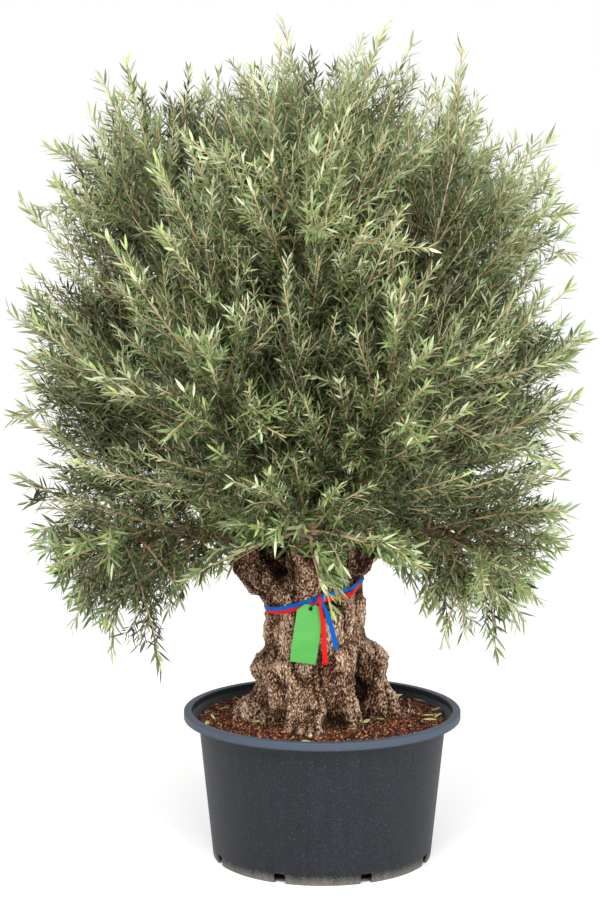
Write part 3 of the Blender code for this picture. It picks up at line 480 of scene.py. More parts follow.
# Leaf colours above and below, for sprays from one tone up to another.
Tint = namedtuple("Tint", "top underside least most")
TINTS = {
    "deep": Tint(rgb(37, 50, 18), rgb(98, 110, 72), -YOUNG_TONE, 0.12),
    "middle": Tint(rgb(74, 90, 43), rgb(148, 161, 118), 0.12, 0.55),
    "pale": Tint(rgb(112, 129, 74), rgb(190, 200, 160), 0.55, YOUNG_TONE),
    "young": Tint(rgb(148, 166, 94), rgb(188, 199, 140), YOUNG_TONE, YOUNG_TONE + 1),
}
CHIP_TONES = {
    "rust chips": (rgb(100, 32, 6), rgb(172, 82, 36)),
    "brown chips": (rgb(56, 24, 9), rgb(108, 54, 28)),
    "dark chips": (rgb(22, 9, 4), rgb(50, 22, 10)),
    "reddish chips": (rgb(70, 26, 10), rgb(124, 58, 30)),
    "black chips": (rgb(12, 6, 3), rgb(34, 16, 8)),
    "pale chips": (rgb(136, 88, 52), rgb(200, 154, 112)),
}


def unit(vectors):
    """Vectors divided by their lengths."""
    return vectors / np.linalg.norm(vectors, axis=-1, keepdims=True)


def square_to(along, vectors):
    """What is left of vectors square to a direction: v - (v . a) a, made length one."""
    return unit(vectors - along * np.sum(vectors * along, axis=-1, keepdims=True))


def beside(along, turn):
    """The direction square to another, turned about it: s cos t + (a x s) sin t."""
    square = unit(np.cross(along, STEEP))
    return square * np.cos(turn) + np.cross(along, square) * np.sin(turn)


def full_turn(count):
    """Angles evenly round a full turn."""
    return np.linspace(0, 2 * math.pi, count, endpoint=False)


def bell(off):
    """One at zero, falling off to both sides: e^(-x^2)."""
    return np.exp(-(off ** 2))


def eased(values, low=0.0, high=1.0):
    """Values brought to 0 to 1 between two limits, then smoothed by 3t^2 - 2t^3."""
    share = np.clip((values - low) / (high - low), 0, 1)
    return share * share * (3 - 2 * share)


def arc(middle, radius, first, last, count):
    """Points of an arc: middle + radius (cos a, sin a) from one angle to another."""
    angles = np.linspace(first, last, count)
    return np.array(middle) + radius * np.stack([np.cos(angles), np.sin(angles)], axis=-1)


def piece(name, finishes, vertices, *face_groups, finish_index=None, smooth=True, slot=None):
    """A mesh object from vertices and arrays of faces, each array with one number of corners."""
    mesh = bpy.data.meshes.new(name)
    mesh.vertices.add(len(vertices))
    mesh.vertices.foreach_set("co", np.asarray(vertices, dtype=np.float32).ravel())
    corners = np.concatenate([np.asarray(group).ravel() for group in face_groups])
    sizes = np.concatenate([np.full(len(group), np.shape(group)[1]) for group in face_groups])
    mesh.loops.add(len(corners))
    mesh.loops.foreach_set("vertex_index", corners.astype(np.int32))
    mesh.polygons.add(len(sizes))
    starts = np.concatenate([[0], np.cumsum(sizes)[:-1]])
    mesh.polygons.foreach_set("loop_start", starts.astype(np.int32))
    mesh.polygons.foreach_set("use_smooth", np.full(len(sizes), smooth))
    if finish_index is not None:
        mesh.polygons.foreach_set("material_index", finish_index.astype(np.int32))
    mesh.update(calc_edges=True)
    for finish in finishes:
        mesh.materials.append(finish.material)
    thing = bpy.data.objects.new(name, mesh)
    bpy.context.scene.collection.objects.link(thing)
    if slot:
        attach(thing, "root")
    return thing


def grid_faces(rows, columns, closed_rows=False):
    """Quads between neighbours on a grid whose columns close into a ring, and its rows if asked."""
    corner = np.arange(rows * columns).reshape(rows, columns)
    if closed_rows:
        corner = np.vstack([corner, corner[:1]])
    low, high = corner[:-1], corner[1:]
    after_low, after_high = np.roll(low, -1, axis=1), np.roll(high, -1, axis=1)
    return np.stack([low, after_low, after_high, high], axis=-1).reshape(-1, 4)


def repeated(faces, count, size):
    """The same faces for each of many copies, each copy's vertices following the last one's."""
    offsets = np.arange(count)[:, None, None] * size
    return (faces[None] + offsets).reshape(-1, faces.shape[1])


def stacks(groups):
    """Vertices and faces of stacks of rings, each closed at both ends by a polygon.

    Each group holds one stack of rows by sides by 3, or many alike.
    """
    vertices, walls, ends, start = [], [], {}, 0
    for rings in groups:
        rows, sides = rings.shape[-3:-1]
        size = rows * sides
        count = rings.size // (3 * size)
        end = np.stack([np.arange(sides)[::-1], np.arange(size - sides, size)])
        walls.append(repeated(grid_faces(rows, sides), count, size) + start)
        ends.setdefault(sides, []).append(repeated(end, count, size) + start)
        vertices.append(rings.reshape(-1, 3))
        start += count * size
    ends = [np.concatenate(group) for group in ends.values()]
    return np.concatenate(vertices), np.concatenate(walls), *ends


def ring_piece(name, finish, slot, rings, smooth=True):
    """A piece whose last ring is joined to its first."""
    faces = grid_faces(*rings.shape[:2], True)
    return piece(name, [finish], rings.reshape(-1, 3), faces, smooth=smooth, slot=slot)


def turned(outline, sides):
    """An outline of radii and heights turned about Z: x = r cos a, y = r sin a, z = h."""
    angles = full_turn(sides)
    radii, heights = np.array(outline).T[:, :, None]
    return np.stack([radii * np.cos(angles), radii * np.sin(angles), heights + 0 * angles], axis=-1)


def finished_mesh(thing):
    """Applies the modifiers of a piece to its mesh."""
    bpy.context.view_layer.update()
    graph = bpy.context.evaluated_depsgraph_get()
    mesh = bpy.data.meshes.new_from_object(thing.evaluated_get(graph))
    thing.modifiers.clear()
    thing.data = mesh
    return mesh


def mesh_arrays(mesh):
    """The places and normals of a mesh's vertices."""
    arrays = []
    for rows, name in ((mesh.vertices, "co"), (mesh.vertex_normals, "vector")):
        values = np.empty(len(rows) * 3, dtype=np.float32)
        rows.foreach_get(name, values)
        arrays.append(values.reshape(-1, 3).astype(float))
    return arrays


class Noise:
    """Smooth noise: random values on a wrapped lattice, blended between corners by 3t^2 - 2t^3."""

    def __init__(self, seed, size=48):
        self.size = size
        self.values = np.random.default_rng([SEED, seed]).random((size, size, size))

    def at(self, points):
        """Values from 0 to 1 at points, one lattice cell to a unit."""
        cell = np.floor(points).astype(int)
        ease = eased(points - cell)
        total = np.zeros(points.shape[:-1])
        for corner in product((0, 1), repeat=3):
            weight = np.prod(np.where(corner, ease, 1 - ease), axis=-1)
            i, j, k = np.moveaxis((cell + corner) % self.size, -1, 0)
            total += weight * self.values[i, j, k]
        return total

    def ridges(self, points):
        """Values that rise to 1 along winding lines: 1 - |2n - 1|."""
        return 1 - np.abs(2 * self.at(points) - 1)


class Flakes:
    """Flakes: each point belongs to its nearest seed of a shaken lattice."""

    def __init__(self, seed, size=32):
        draw = np.random.default_rng([SEED, seed])
        self.size = size
        self.shifts = draw.random((size, size, size, 3))
        self.tones = draw.random((size, size, size))

    def at(self, points):
        """How far points are from the nearest border, in cells, and their flake's tone."""
        cell = np.floor(points).astype(int)
        nearest = np.full(points.shape[:-1], FAR)
        second = nearest.copy()
        tone = np.zeros(points.shape[:-1])
        for step in product((-1, 0, 1), repeat=3):
            around = cell + step
            i, j, k = np.moveaxis(around % self.size, -1, 0)
            away = np.linalg.norm(around + self.shifts[i, j, k] - points, axis=-1)
            closer = away < nearest
            second = np.where(closer, nearest, np.minimum(second, away))
            nearest = np.where(closer, away, nearest)
            tone = np.where(closer, self.tones[i, j, k], tone)
        return second - nearest, tone


class Signal:
    """A value inside a material's nodes: arithmetic on it adds Math nodes."""

    def __init__(self, finish, socket):
        self.finish = finish
        self.socket = socket

    def worked(self, operation, first, second):
        """One Math node on two values."""
        return self.finish.node("ShaderNodeMath", {"operation": operation}, {0: first, 1: second})

    def __add__(self, other):
        return self.worked("ADD", self, other)

    def __sub__(self, other):
        return self.worked("SUBTRACT", self, other)

    def __rsub__(self, other):
        return self.worked("SUBTRACT", other, self)

    def __mul__(self, other):
        return self.worked("MULTIPLY", self, other)

    __radd__ = __add__
    __rmul__ = __mul__


class Finish:
    """A material whose Principled shader has constants and is fed by nodes."""

    def __init__(self, name, constants):
        self.material = bpy.data.materials.new(name)
        self.material.use_nodes = True
        self.nodes = self.material.node_tree.nodes
        self.links = self.material.node_tree.links
        self.shader = self.nodes["Principled BSDF"]
        for socket, value in constants.items():
            self.feed(socket, value)

    def node(self, kind, settings, inputs, output=0):
        """Adds one node: its settings first, then the values or links of its sockets."""
        made = self.nodes.new(kind)
        for name, value in settings.items():
            if name == "stops":
                self.set_stops(made.color_ramp.elements, value)
            else:
                setattr(made, name, value)
        for name, value in inputs.items():
            self.join(made.inputs[name], value)
        return Signal(self, made.outputs[output])

    def join(self, socket, value):
        """Links a socket to a signal or sets its value."""
        if isinstance(value, Signal):
            self.links.new(value.socket, socket)
        else:
            socket.default_value = value

    def feed(self, socket, value):
        """Feeds a socket of the Principled shader."""
        self.join(self.shader.inputs[socket], value)

    @staticmethod
    def set_stops(elements, stops):
        """Gives a ramp its stops of position and colour."""
        for _ in range(len(stops) - len(elements)):
            elements.new(1.0)
        for element, (position, colour) in zip(elements, stops):
            element.position = position
            element.color = colour

    def place(self, stretch=(1.0, 1.0, 1.0)):
        """The place on the object, stretched along its axes."""
        coordinates = self.node("ShaderNodeTexCoord", {}, {}, "Object")
        return self.node("ShaderNodeMapping", {}, {"Vector": coordinates, "Scale": stretch})

    def noise(self, place, scale, detail=3.0, roughness=0.55):
        """Noise of so many waves a metre."""
        inputs = {"Vector": place, "Scale": scale, "Detail": detail, "Roughness": roughness}
        return self.node("ShaderNodeTexNoise", {}, inputs)

    def flakes(self, place, scale):
        """Distance to the nearest of the scattered cell points."""
        return self.node("ShaderNodeTexVoronoi", {}, {"Vector": place, "Scale": scale})

    def height(self):
        """The height above the ground on the piece."""
        coordinates = self.node("ShaderNodeTexCoord", {}, {}, "Object")
        return self.node("ShaderNodeSeparateXYZ", {}, {"Vector": coordinates}, "Z")

    def attribute(self, name):
        """A number kept on the mesh."""
        return self.node("ShaderNodeAttribute", {"attribute_name": name}, {}, "Fac")

    def between(self, value, low, high):
        """A value brought to the range 0 to 1 between two limits."""
        inputs = {"Value": value, "From Min": low, "From Max": high}
        return self.node("ShaderNodeMapRange", {"clamp": True}, inputs)

    def ramp(self, value, stops):
        """Colours by a value, blended between stops."""
        return self.node("ShaderNodeValToRGB", {"stops": stops}, {"Fac": value})

    def blend(self, share, first, second):
        """The first colour, turning into the second as the share goes from 0 to 1."""
        inputs = {0: share, 6: first, 7: second}
        return self.node("ShaderNodeMix", {"data_type": "RGBA"}, inputs, 2)

    def bump(self, height, distance, strength=1.0):
        """Small relief in the shading, so many metres deep."""
        inputs = {"Height": height, "Distance": distance, "Strength": strength}
        self.feed("Normal", self.node("ShaderNodeBump", {}, inputs))


def bark_finish():
    """Old bark: brown flanks and tan flecks, drawn out upwards, with painted shade in the furrows and
    painted light round the waist.
    """
    bark = Finish("flecked bark", {"Roughness": 0.92, "Specular IOR Level": 0.15})
    place = bark.place((1.0, 1.0, 0.58))
    patches = bark.noise(bark.place(), 14.0, 2.0)
    flecks = bark.noise(place, 200.0, 2.0, 0.6)
    grains = bark.flakes(place, 230.0)
    # The tone from the bark's forms holds painted shade in its furrows, valleys, hollow and fissures, and
    # under the crown.
    relief = bark.attribute("relief")
    height = bark.height()
    # Painted light: a paler band round the waist.
    wear_and_painted_light = bark.between(height, *WAIST_LIGHT_START) * (1.0 - bark.between(height, *WAIST_LIGHT_END))
    light = relief * 0.80 + flecks * 1.70 - grains * 0.30 + patches * 0.30 + wear_and_painted_light * 0.16 - 0.91
    stops = (
        (0.10, rgb(24, 13, 7)),
        (0.30, rgb(72, 48, 32)),
        (0.48, rgb(128, 98, 76)),
        (0.66, rgb(188, 158, 132)),
        (0.88, rgb(232, 210, 188)),
    )
    bark.feed("Base Color", bark.ramp(light, stops))
    bark.bump(flecks - grains * 0.5, 0.0022)
    return bark


def bough_finish():
    """Smoother grey-brown bark of the boughs."""
    bark = Finish("bough bark", {"Roughness": 0.85})
    place = bark.place()
    flecks = bark.noise(place, 120.0, 3.0)
    stops = ((0.3, rgb(58, 44, 32)), (0.5, rgb(104, 84, 63)), (0.7, rgb(150, 128, 102)))
    bark.feed("Base Color", bark.ramp(flecks, stops))
    bark.bump(flecks, 0.001)
    return bark


def pot_finish():
    """Dark slate moulded plastic: faint streaks, a painted highlight on the rim, dust at the foot, and
    painted shade inside.
    """
    pot = Finish("slate pot plastic", {"Specular IOR Level": 0.3})
    height = pot.height()
    streaks = pot.noise(pot.place((1.0, 1.0, 0.07)), 42.0, 4.0)
    specks = pot.noise(pot.place(), 260.0, 2.0)
    clouds = pot.noise(pot.place(), 9.0, 3.0)
    stops = ((0.30, rgb(13, 15, 20)), (0.50, rgb(17, 20, 27)), (0.70, rgb(23, 28, 37)))
    plain = pot.ramp(streaks * 0.6 + clouds * 0.4, stops)
    foot = 1.0 - pot.between(height, 0.0, DUST_HEIGHT)
    dust = pot.between(foot * 0.75 + specks * 0.55 + streaks * 0.35, 0.78, 1.25)
    spots = pot.between(specks, 0.58, 0.74) * 0.42
    # Painted highlight: the rim is paler where light falls on it.
    rim = pot.between(height, *RIM_HIGHLIGHT_START) * 0.65
    wear_and_painted_light = pot.blend(dust * 0.85, plain, rgb(124, 118, 108))
    highlighted = pot.blend(rim, wear_and_painted_light, rgb(73, 84, 101))
    spotted = pot.blend(spots, highlighted, rgb(84, 92, 106))
    from_axis = pot.place((1.0, 1.0, 0.0))
    reach = pot.node("ShaderNodeVectorMath", {"operation": "LENGTH"}, {0: from_axis}, "Value")
    # Painted shade: the inside wall above the soil is near black.
    inside = (1.0 - pot.between(reach, *INSIDE_REACHES)) * pot.between(height, *INSIDE_HEIGHTS)
    pot.feed("Base Color", pot.blend(inside * 0.8, spotted, rgb(8, 9, 11)))
    pot.feed("Roughness", 0.48 + clouds * 0.16 + dust * 0.2)
    pot.bump(specks * 0.6 + streaks * 0.4, 0.0006)
    return pot


def soil_finish():
    """Moist bark soil: reddish-brown crumbs, with painted shade in the gaps between them."""
    soil = Finish("crumbly soil", {"Roughness": 0.95, "Specular IOR Level": 0.2})
    place = soil.place()
    crumbs = soil.noise(place, 170.0, 3.0, 0.65)
    grains = soil.flakes(place, 240.0)
    stops = (
        (0.30, rgb(26, 12, 7)),
        (0.48, rgb(78, 42, 26)),
        (0.62, rgb(120, 70, 44)),
        (0.80, rgb(158, 112, 80)),
    )
    # Painted shade: lower crumbs and the gaps between grains are darker.
    soil.feed("Base Color", soil.ramp(crumbs * 1.1 - grains * 0.15, stops))
    soil.bump(crumbs - grains, 0.003)
    return soil


def chip_finish(name, dark, light):
    """One tone of bark chips, mottled between two colours."""
    chip = Finish(name, {"Roughness": 0.9})
    mottle = chip.noise(chip.place(), 130.0, 3.0)
    chip.feed("Base Color", chip.ramp(mottle, ((0.38, dark), (0.62, light))))
    return chip


def ribbon_finish(name, dark, light):
    """Woven satin ribbon: fine ribs, with painted shade making the colour a little deeper between them."""
    ribbon = Finish(name, {"Roughness": 0.6, "Specular IOR Level": 0.1})
    place = ribbon.place()
    settings = {"wave_type": "BANDS", "bands_direction": "DIAGONAL"}
    ribs = ribbon.node("ShaderNodeTexWave", settings, {"Vector": place, "Scale": 320.0})
    shade = ribbon.noise(place, 60.0, 2.0)
    # Painted shade: the colour is deeper in the hollows between the ribs.
    ribbon.feed("Base Color", ribbon.blend(ribs * 0.35 + shade * 0.5, dark, light))
    ribbon.bump(ribs, 0.0002, 0.5)
    return ribbon


def string_finish():
    """Dark blue-green string: fine twisted fibres."""
    string = Finish("dark string", {"Roughness": 0.8})
    fibres = string.noise(string.place(), 900.0, 2.0)
    string.feed("Base Color", string.ramp(fibres, ((0.35, rgb(8, 22, 24)), (0.65, rgb(24, 58, 62)))))
    string.bump(fibres, 0.0003)
    return string


def tag_finish():
    """Bright green card: clean, faintly mottled, with a soft sheen."""
    card = Finish("green card", {"Specular IOR Level": 0.4})
    place = card.place()
    clouds = card.noise(place, 16.0, 3.0)
    fibres = card.noise(place, 420.0, 2.0)
    stops = ((0.35, rgb(76, 164, 70)), (0.65, rgb(90, 177, 82)))
    card.feed("Base Color", card.ramp(clouds * 0.8 + fibres * 0.2, stops))
    card.feed("Roughness", 0.42 + fibres * 0.15)
    card.bump(fibres, 0.0001)
    return card


def plain_finish(name, colour, roughness, specular=0.5):
    """One plain colour, for pieces of many small parts whose tones are dealt out by piece."""
    inputs = {"Base Color": colour, "Roughness": roughness, "Specular IOR Level": specular}
    return Finish(name, inputs)


def curve_points(curves, shares):
    """Points of quadratic curves: (1-t)^2 foot + 2t(1-t) bend + t^2 tip at each share t."""
    share = shares[..., None]
    foot, bend, tip = (curves[:, None, corner] for corner in range(3))
    return (1 - share) ** 2 * foot + 2 * share * (1 - share) * bend + share ** 2 * tip


def curve_directions(curves, shares):
    """Directions of quadratic curves: (1-t)(bend - foot) + t(tip - bend), made length one."""
    share = shares[..., None]
    foot, bend, tip = (curves[:, None, corner] for corner in range(3))
    return unit((1 - share) * (bend - foot) + share * (tip - bend))


def tube_rings(curves, foot_radius, tip_radius, rows, sides):
    """Rings of tubes: curve point + r(t) times the direction beside it, r in a line from foot to tip."""
    shares = np.linspace(0, 1, rows)[None]
    along = curve_directions(curves, shares)
    outward = beside(along[..., None, :], full_turn(sides)[:, None])
    radii = foot_radius + (tip_radius - foot_radius) * shares
    return curve_points(curves, shares)[:, :, None] + outward * radii[..., None, None]


def limb_curves(limbs):
    """Foot, bend and tip of limbs as one array."""
    return np.array([(limb.foot, limb.bend, limb.tip) for limb in limbs], dtype=float)


def limb_radius(limb, share):
    """The radius of a limb at a share of its run: in a line from foot to tip."""
    return limb.foot_radius + (limb.tip_radius - limb.foot_radius) * share


def limb_rings(limb, grid):
    """The rings of one limb."""
    return tube_rings(limb_curves([limb]), limb.foot_radius, limb.tip_radius, *grid)


def part_of_limb(limb, first, last, swell=1.0):
    """A stretch of a limb between two shares, with its radii there and its foot swollen."""
    places = curve_points(limb_curves([limb]), np.array([[first, (first + last) / 2, last]]))[0]
    bend = 2 * places[1] - (places[0] + places[2]) / 2
    return Limb(places[0], bend, places[2], limb_radius(limb, first) * swell, limb_radius(limb, last))


def bough_limbs():
    """The whole run of each bough, from inside its arm to the middle of its mass."""
    return {
        name: Limb(ARMS[mass.arm].tip, mass.bend, mass.middle, BOUGH_FOOT_RADIUS, STEM_TIP_RADIUS)
        for name, mass in MASSES.items()
    }


def trunk_middle(height):
    """The trunk's middle in plan: from the foot's to the fork's by 3s^2 - 2s^3 of the height."""
    foot, fork = np.array(TRUNK_FOOT_MIDDLE), np.array(TRUNK_FORK_MIDDLE)
    return foot + (fork - foot) * eased(height, 0.0, TRUNK_HEIGHT)[..., None]


def around_trunk(places):
    """The height above the soil, and the distance and direction from the trunk's middle."""
    height = places[..., 2] - SOIL_LEVEL
    plan = places[..., :2] - trunk_middle(height)
    return height, np.linalg.norm(plan, axis=-1), np.arctan2(plan[..., 1], plan[..., 0])


def facing(angle, azimuth, width):
    """A bell of an angle about an azimuth, with its width, both in degrees."""
    off = np.abs((angle - math.radians(azimuth) + math.pi) % (2 * math.pi) - math.pi)
    return bell(off / math.radians(width))


def trunk_radius(angle, height):
    """Waist + spread (h - waist height)^2, and for each root a bell in direction and height."""
    away_from_waist = height - TRUNK_WAIST_HEIGHT
    radius = TRUNK_WAIST_RADIUS + TRUNK_SPREAD * away_from_waist ** 2
    foot_share = np.exp(-np.abs(height / FOOT_FADE) ** FOOT_FADE_POWER)
    for root in ROOTS:
        knob = bell((height - root.knob_height) / KNOB_SPAN)
        reach = root.foot * foot_share + root.knob * knob + root.rib
        radius = radius + facing(angle, root.azimuth, root.width) * reach
    return radius


def stump_rings(rows, sides):
    """Rings of the trunk: middle(h) + radius(a, h) (cos a, sin a), drawn in at the very top."""
    heights = np.linspace(-TRUNK_SINK, TRUNK_HEIGHT, rows)
    angle, height = np.meshgrid(full_turn(sides), heights)
    closing_height = TRUNK_HEIGHT * TRUNK_CLOSING_START
    closing = np.clip((height - closing_height) / (TRUNK_HEIGHT - closing_height), 0, 1)
    radius = trunk_radius(angle, height) * (1 - TRUNK_CLOSING_SHARE * closing ** 2)
    outward = np.stack([np.cos(angle), np.sin(angle)], axis=-1) * radius[..., None]
    return np.concatenate([trunk_middle(height) + outward, SOIL_LEVEL + height[..., None]], axis=-1)


def ball_rings(middle, radius, rows, sides):
    """Rings of a ball: middle + radius (cos u cos a, cos u sin a, sin u), short of its poles."""
    return np.array(middle) + radius * turned(arc((0, 0), 1, *BALL_STRETCH, rows), sides)


def fissures(places):
    """How near places are to a fissure between two arms: where both arms' bark is as near."""
    shares = np.linspace(0, 1, FISSURE_STEPS)
    middles = curve_points(limb_curves(ARMS.values()), shares[None])
    away = [
        np.min(np.linalg.norm(places[:, None] - middle, axis=-1) - limb_radius(arm, shares), axis=-1)
        for middle, arm in zip(middles, ARMS.values())
    ]
    nearest, second = np.sort(np.stack(away), axis=0)[:2]
    return bell((second - nearest) / FISSURE_WIDTH)


def bark_forms(places):
    """The bark's forms at places, each from 0 to 1: noises, and bells about roots and fissures."""
    height, _, angle = around_trunk(places)
    on_root = np.max([facing(angle, root.azimuth, root.width) for root in ROOTS if root.foot > 0], axis=0)
    hollow = facing(angle, HOLLOW_AZIMUTH, HOLLOW_WIDTH) * bell((height - HOLLOW_HEIGHT) / HOLLOW_RISE)
    sway = np.stack([Noise(seed).at(places / SWAY_SIZE) for seed in (11, 12, 13)], axis=-1) - 0.5
    grown = places + sway * SWAY_REACH
    drawn = grown * FURROW_STRETCH
    border, shade = Flakes(5).at((places + sway * FLAKE_SWAY_REACH) * FLAKE_STRETCH / FLAKE_SIZE)
    flakes = np.clip(border / FLAKE_EDGE, 0, 1)
    return {
        "level": 1.0,
        "knobs": eased(Noise(1).at(grown / KNOB_SIZE), *KNOB_LIMITS),
        "furrows": Noise(2).ridges(drawn / FURROW_SIZE) ** FURROW_SHARPNESS,
        "valleys": np.clip(1 - VALLEY_WIDENING * on_root, 0, 1) * bell(np.maximum(height, 0) / VALLEY_RISE),
        "hollow": hollow,
        "fissures": fissures(places) * eased(height, *FISSURE_START),
        "ridges": Noise(3).ridges(drawn / RIDGE_SIZE),
        "flakes": flakes,
        "flake tones": flakes * shade,
        "grain": Noise(6).at(places / GRAIN_SIZE) - 0.5,
        "height": eased(height, *SHADED_STRETCH),
    }


def melted(name, finish, shapes, voxel):
    """One body of closed shapes melted together and softened, then moved out by its bark's relief."""
    body = piece(name, [finish], *stacks(shapes), slot="bark")
    melt = body.modifiers.new("Melt", "REMESH")
    melt.mode = "VOXEL"
    melt.voxel_size = voxel
    soften = body.modifiers.new("Soften", "SMOOTH")
    soften.factor = SOFTENING
    soften.iterations = SOFTENING_STEPS
    mesh = finished_mesh(body)
    places, normals = mesh_arrays(mesh)
    forms = bark_forms(places)
    relief = sum(BARK_FORMS[form].relief * share for form, share in forms.items())
    # The tone, kept in the relief attribute, holds painted shade in the bark's recesses and under the
    # crown.
    tone = sum(BARK_FORMS[form].tone * share for form, share in forms.items())
    places = places + normals * relief[:, None]
    mesh.vertices.foreach_set("co", places.astype(np.float32).ravel())
    mesh.attributes.new("relief", "FLOAT", "POINT").data.foreach_set("value", tone.astype(np.float32))
    mesh.materials.clear()
    mesh.materials.append(finish.material)
    mesh.shade_smooth()
    mesh.update()
    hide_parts("trunk")
    return places


def build_trunk(finish, limbs):
    """The stump with the lower arms, and the upper arms with the boughs' collars."""
    lower = [part_of_limb(arm, 0.0, ARM_SPLIT + ARM_LAP) for arm in ARMS.values()]
    upper = [part_of_limb(arm, ARM_SPLIT - ARM_LAP, 1.0) for arm in ARMS.values()]
    collars = [part_of_limb(limb, 0.0, COLLAR_SHARE, COLLAR_SWELL) for limb in limbs.values()]
    arms = [limb_rings(arm, ARM_GRID) for arm in upper]
    melted("upper_arms", finish, arms + [limb_rings(collar, COLLAR_GRID) for collar in collars], ARM_VOXEL)
    stump = [stump_rings(*STUMP_GRID)]
    stump += [limb_rings(arm, ARM_GRID) for arm in lower]
    stump.append(ball_rings(BURL_PLACE, BURL_RADIUS, *BALL_GRID))
    return melted("trunk_bark", finish, stump, BARK_VOXEL)


def build_boughs(finish, limbs):
    """The boughs from inside their arms to the middles of their masses, a little knotty."""
    rings = tube_rings(limb_curves(limbs.values()), BOUGH_FOOT_RADIUS, STEM_TIP_RADIUS, *BOUGH_GRID)
    knots = Noise(7).at(rings / BOUGH_KNOT_SIZE) - 0.5
    outward = rings - rings.mean(axis=2, keepdims=True)
    rings = rings + outward * knots[..., None] * BOUGH_KNOT_DEPTH
    boughs = piece("boughs", [finish], *stacks([rings]), slot="bark")
    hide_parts(*[f"bough_{name}" for name in MASSES])


def spray_drop(points):
    """How far the one spray before the trunk hangs down: a bell across it."""
    spray = bell((points[..., 0] - SPRAY_PLACE) / SPRAY_HALF_WIDTH)
    return SPRAY_DROP * spray * (points[..., 1] < -TRUNK_WAIST_RADIUS)


def underside(points):
    """The lowest height of the foliage: an arch over the trunk, with one spray before it."""
    out = np.abs(points[..., 0] - ARCH_MIDDLE) - ARCH_HALF_WIDTH
    arch = ARCH_HEIGHT - ARCH_SLOPE * np.maximum(out, 0.0)
    return np.maximum(arch - spray_drop(points), CROWN_LOWEST)


def crown_room(points):
    """About how far points are inside the crown: a rounded box of |x|^p + |y|^p + |z|^p = 1."""
    above = points[..., 2] > CROWN_MIDDLE[2]
    sizes = np.stack([
        np.full(above.shape, CROWN_HALF_WIDTH),
        np.full(above.shape, CROWN_HALF_DEPTH),
        np.where(above, CROWN_RISE, CROWN_DROP),
    ], axis=-1)
    off = np.abs(points - np.array(CROWN_MIDDLE)) / sizes
    share = np.sum(off ** CROWN_POWER, axis=-1) ** (1 / CROWN_POWER)
    above_underside = (points[..., 2] - underside(points)) * UNDERSIDE_STEEPNESS
    return np.minimum((1 - share) * CROWN_HALF_DEPTH, above_underside)


def fringe(points):
    """How far side shoots stay inside the crown's edge, more near its top and its foot."""
    height = points[..., 2]
    top = np.clip((height - TOP_FRINGE_START) / (TOP_FRINGE_END - TOP_FRINGE_START), 0, 1)
    low = np.clip((LOW_FRINGE_START - height) / (LOW_FRINGE_START - LOW_FRINGE_END), 0, 1)
    return TOP_FRINGE * top + LOW_FRINGE * low


def edge_margin(points):
    """How far inside the crown the tips of shoots and leaves stay: only before the trunk above 0."""
    over_trunk = np.abs(points[:, 0] - ARCH_MIDDLE) < ARCH_HALF_WIDTH + ARCH_EDGE
    hanging = np.abs(points[:, 0] - HANGING_PLACE) < HANGING_HALF_WIDTH
    under_arch = over_trunk & ~hanging & (points[:, 1] < 0)
    margin = ARCH_MARGIN + ARCH_FRONT_RISE * np.maximum(-points[:, 1], 0)
    margin = margin + UNDERSIDE_STEEPNESS * spray_drop(points)
    return np.where(under_arch, margin, -LEAF_OVERHANG)


def clear_of_arch(tips):
    """Whether the tips of shoots keep their margin before the trunk."""
    margin = edge_margin(tips)
    return (crown_room(tips) > margin) | (margin < 0)


def cell_room(points, index):
    """The distance from points to the plane halfway to the nearest other mass's middle."""
    others = np.delete(MIDDLES, index, axis=0)
    halfway = (others + MIDDLES[index]) / 2
    toward = unit(others - MIDDLES[index])
    return np.min(np.sum((halfway - points[..., None, :]) * toward, axis=-1), axis=-1)


def limb_samples(limb, end_gap):
    """Points and radii along a limb at even distances, short of its end by a gap."""
    shares = np.linspace(0, 1, LIMB_STEPS)
    curve = limb_curves([limb])
    points = curve_points(curve, shares[None])[0]
    lengths = np.concatenate([[0], np.cumsum(np.linalg.norm(np.diff(points, axis=0), axis=1))])
    end = lengths[-1] - end_gap
    distances = np.linspace(0, end, max(2, int(end / SAMPLE_STEP) + 1))
    at = np.interp(distances, lengths, shares)
    return curve_points(curve, at[None])[0], limb_radius(limb, distances / lengths[-1])


def limb_clearance(points, obstacles):
    """The distance from points to the nearest limb's bark or to the trunk."""
    centres, radii = obstacles
    limbs = np.min(np.linalg.norm(points[..., None, :] - centres, axis=-1) - radii, axis=-1)
    height, away, angle = around_trunk(points)
    trunk = away - trunk_radius(angle, np.clip(height, 0, TRUNK_HEIGHT))
    by_trunk = height < TRUNK_HEIGHT + TRUNK_TOP_MARGIN
    return np.where(by_trunk, np.minimum(limbs, trunk), limbs)


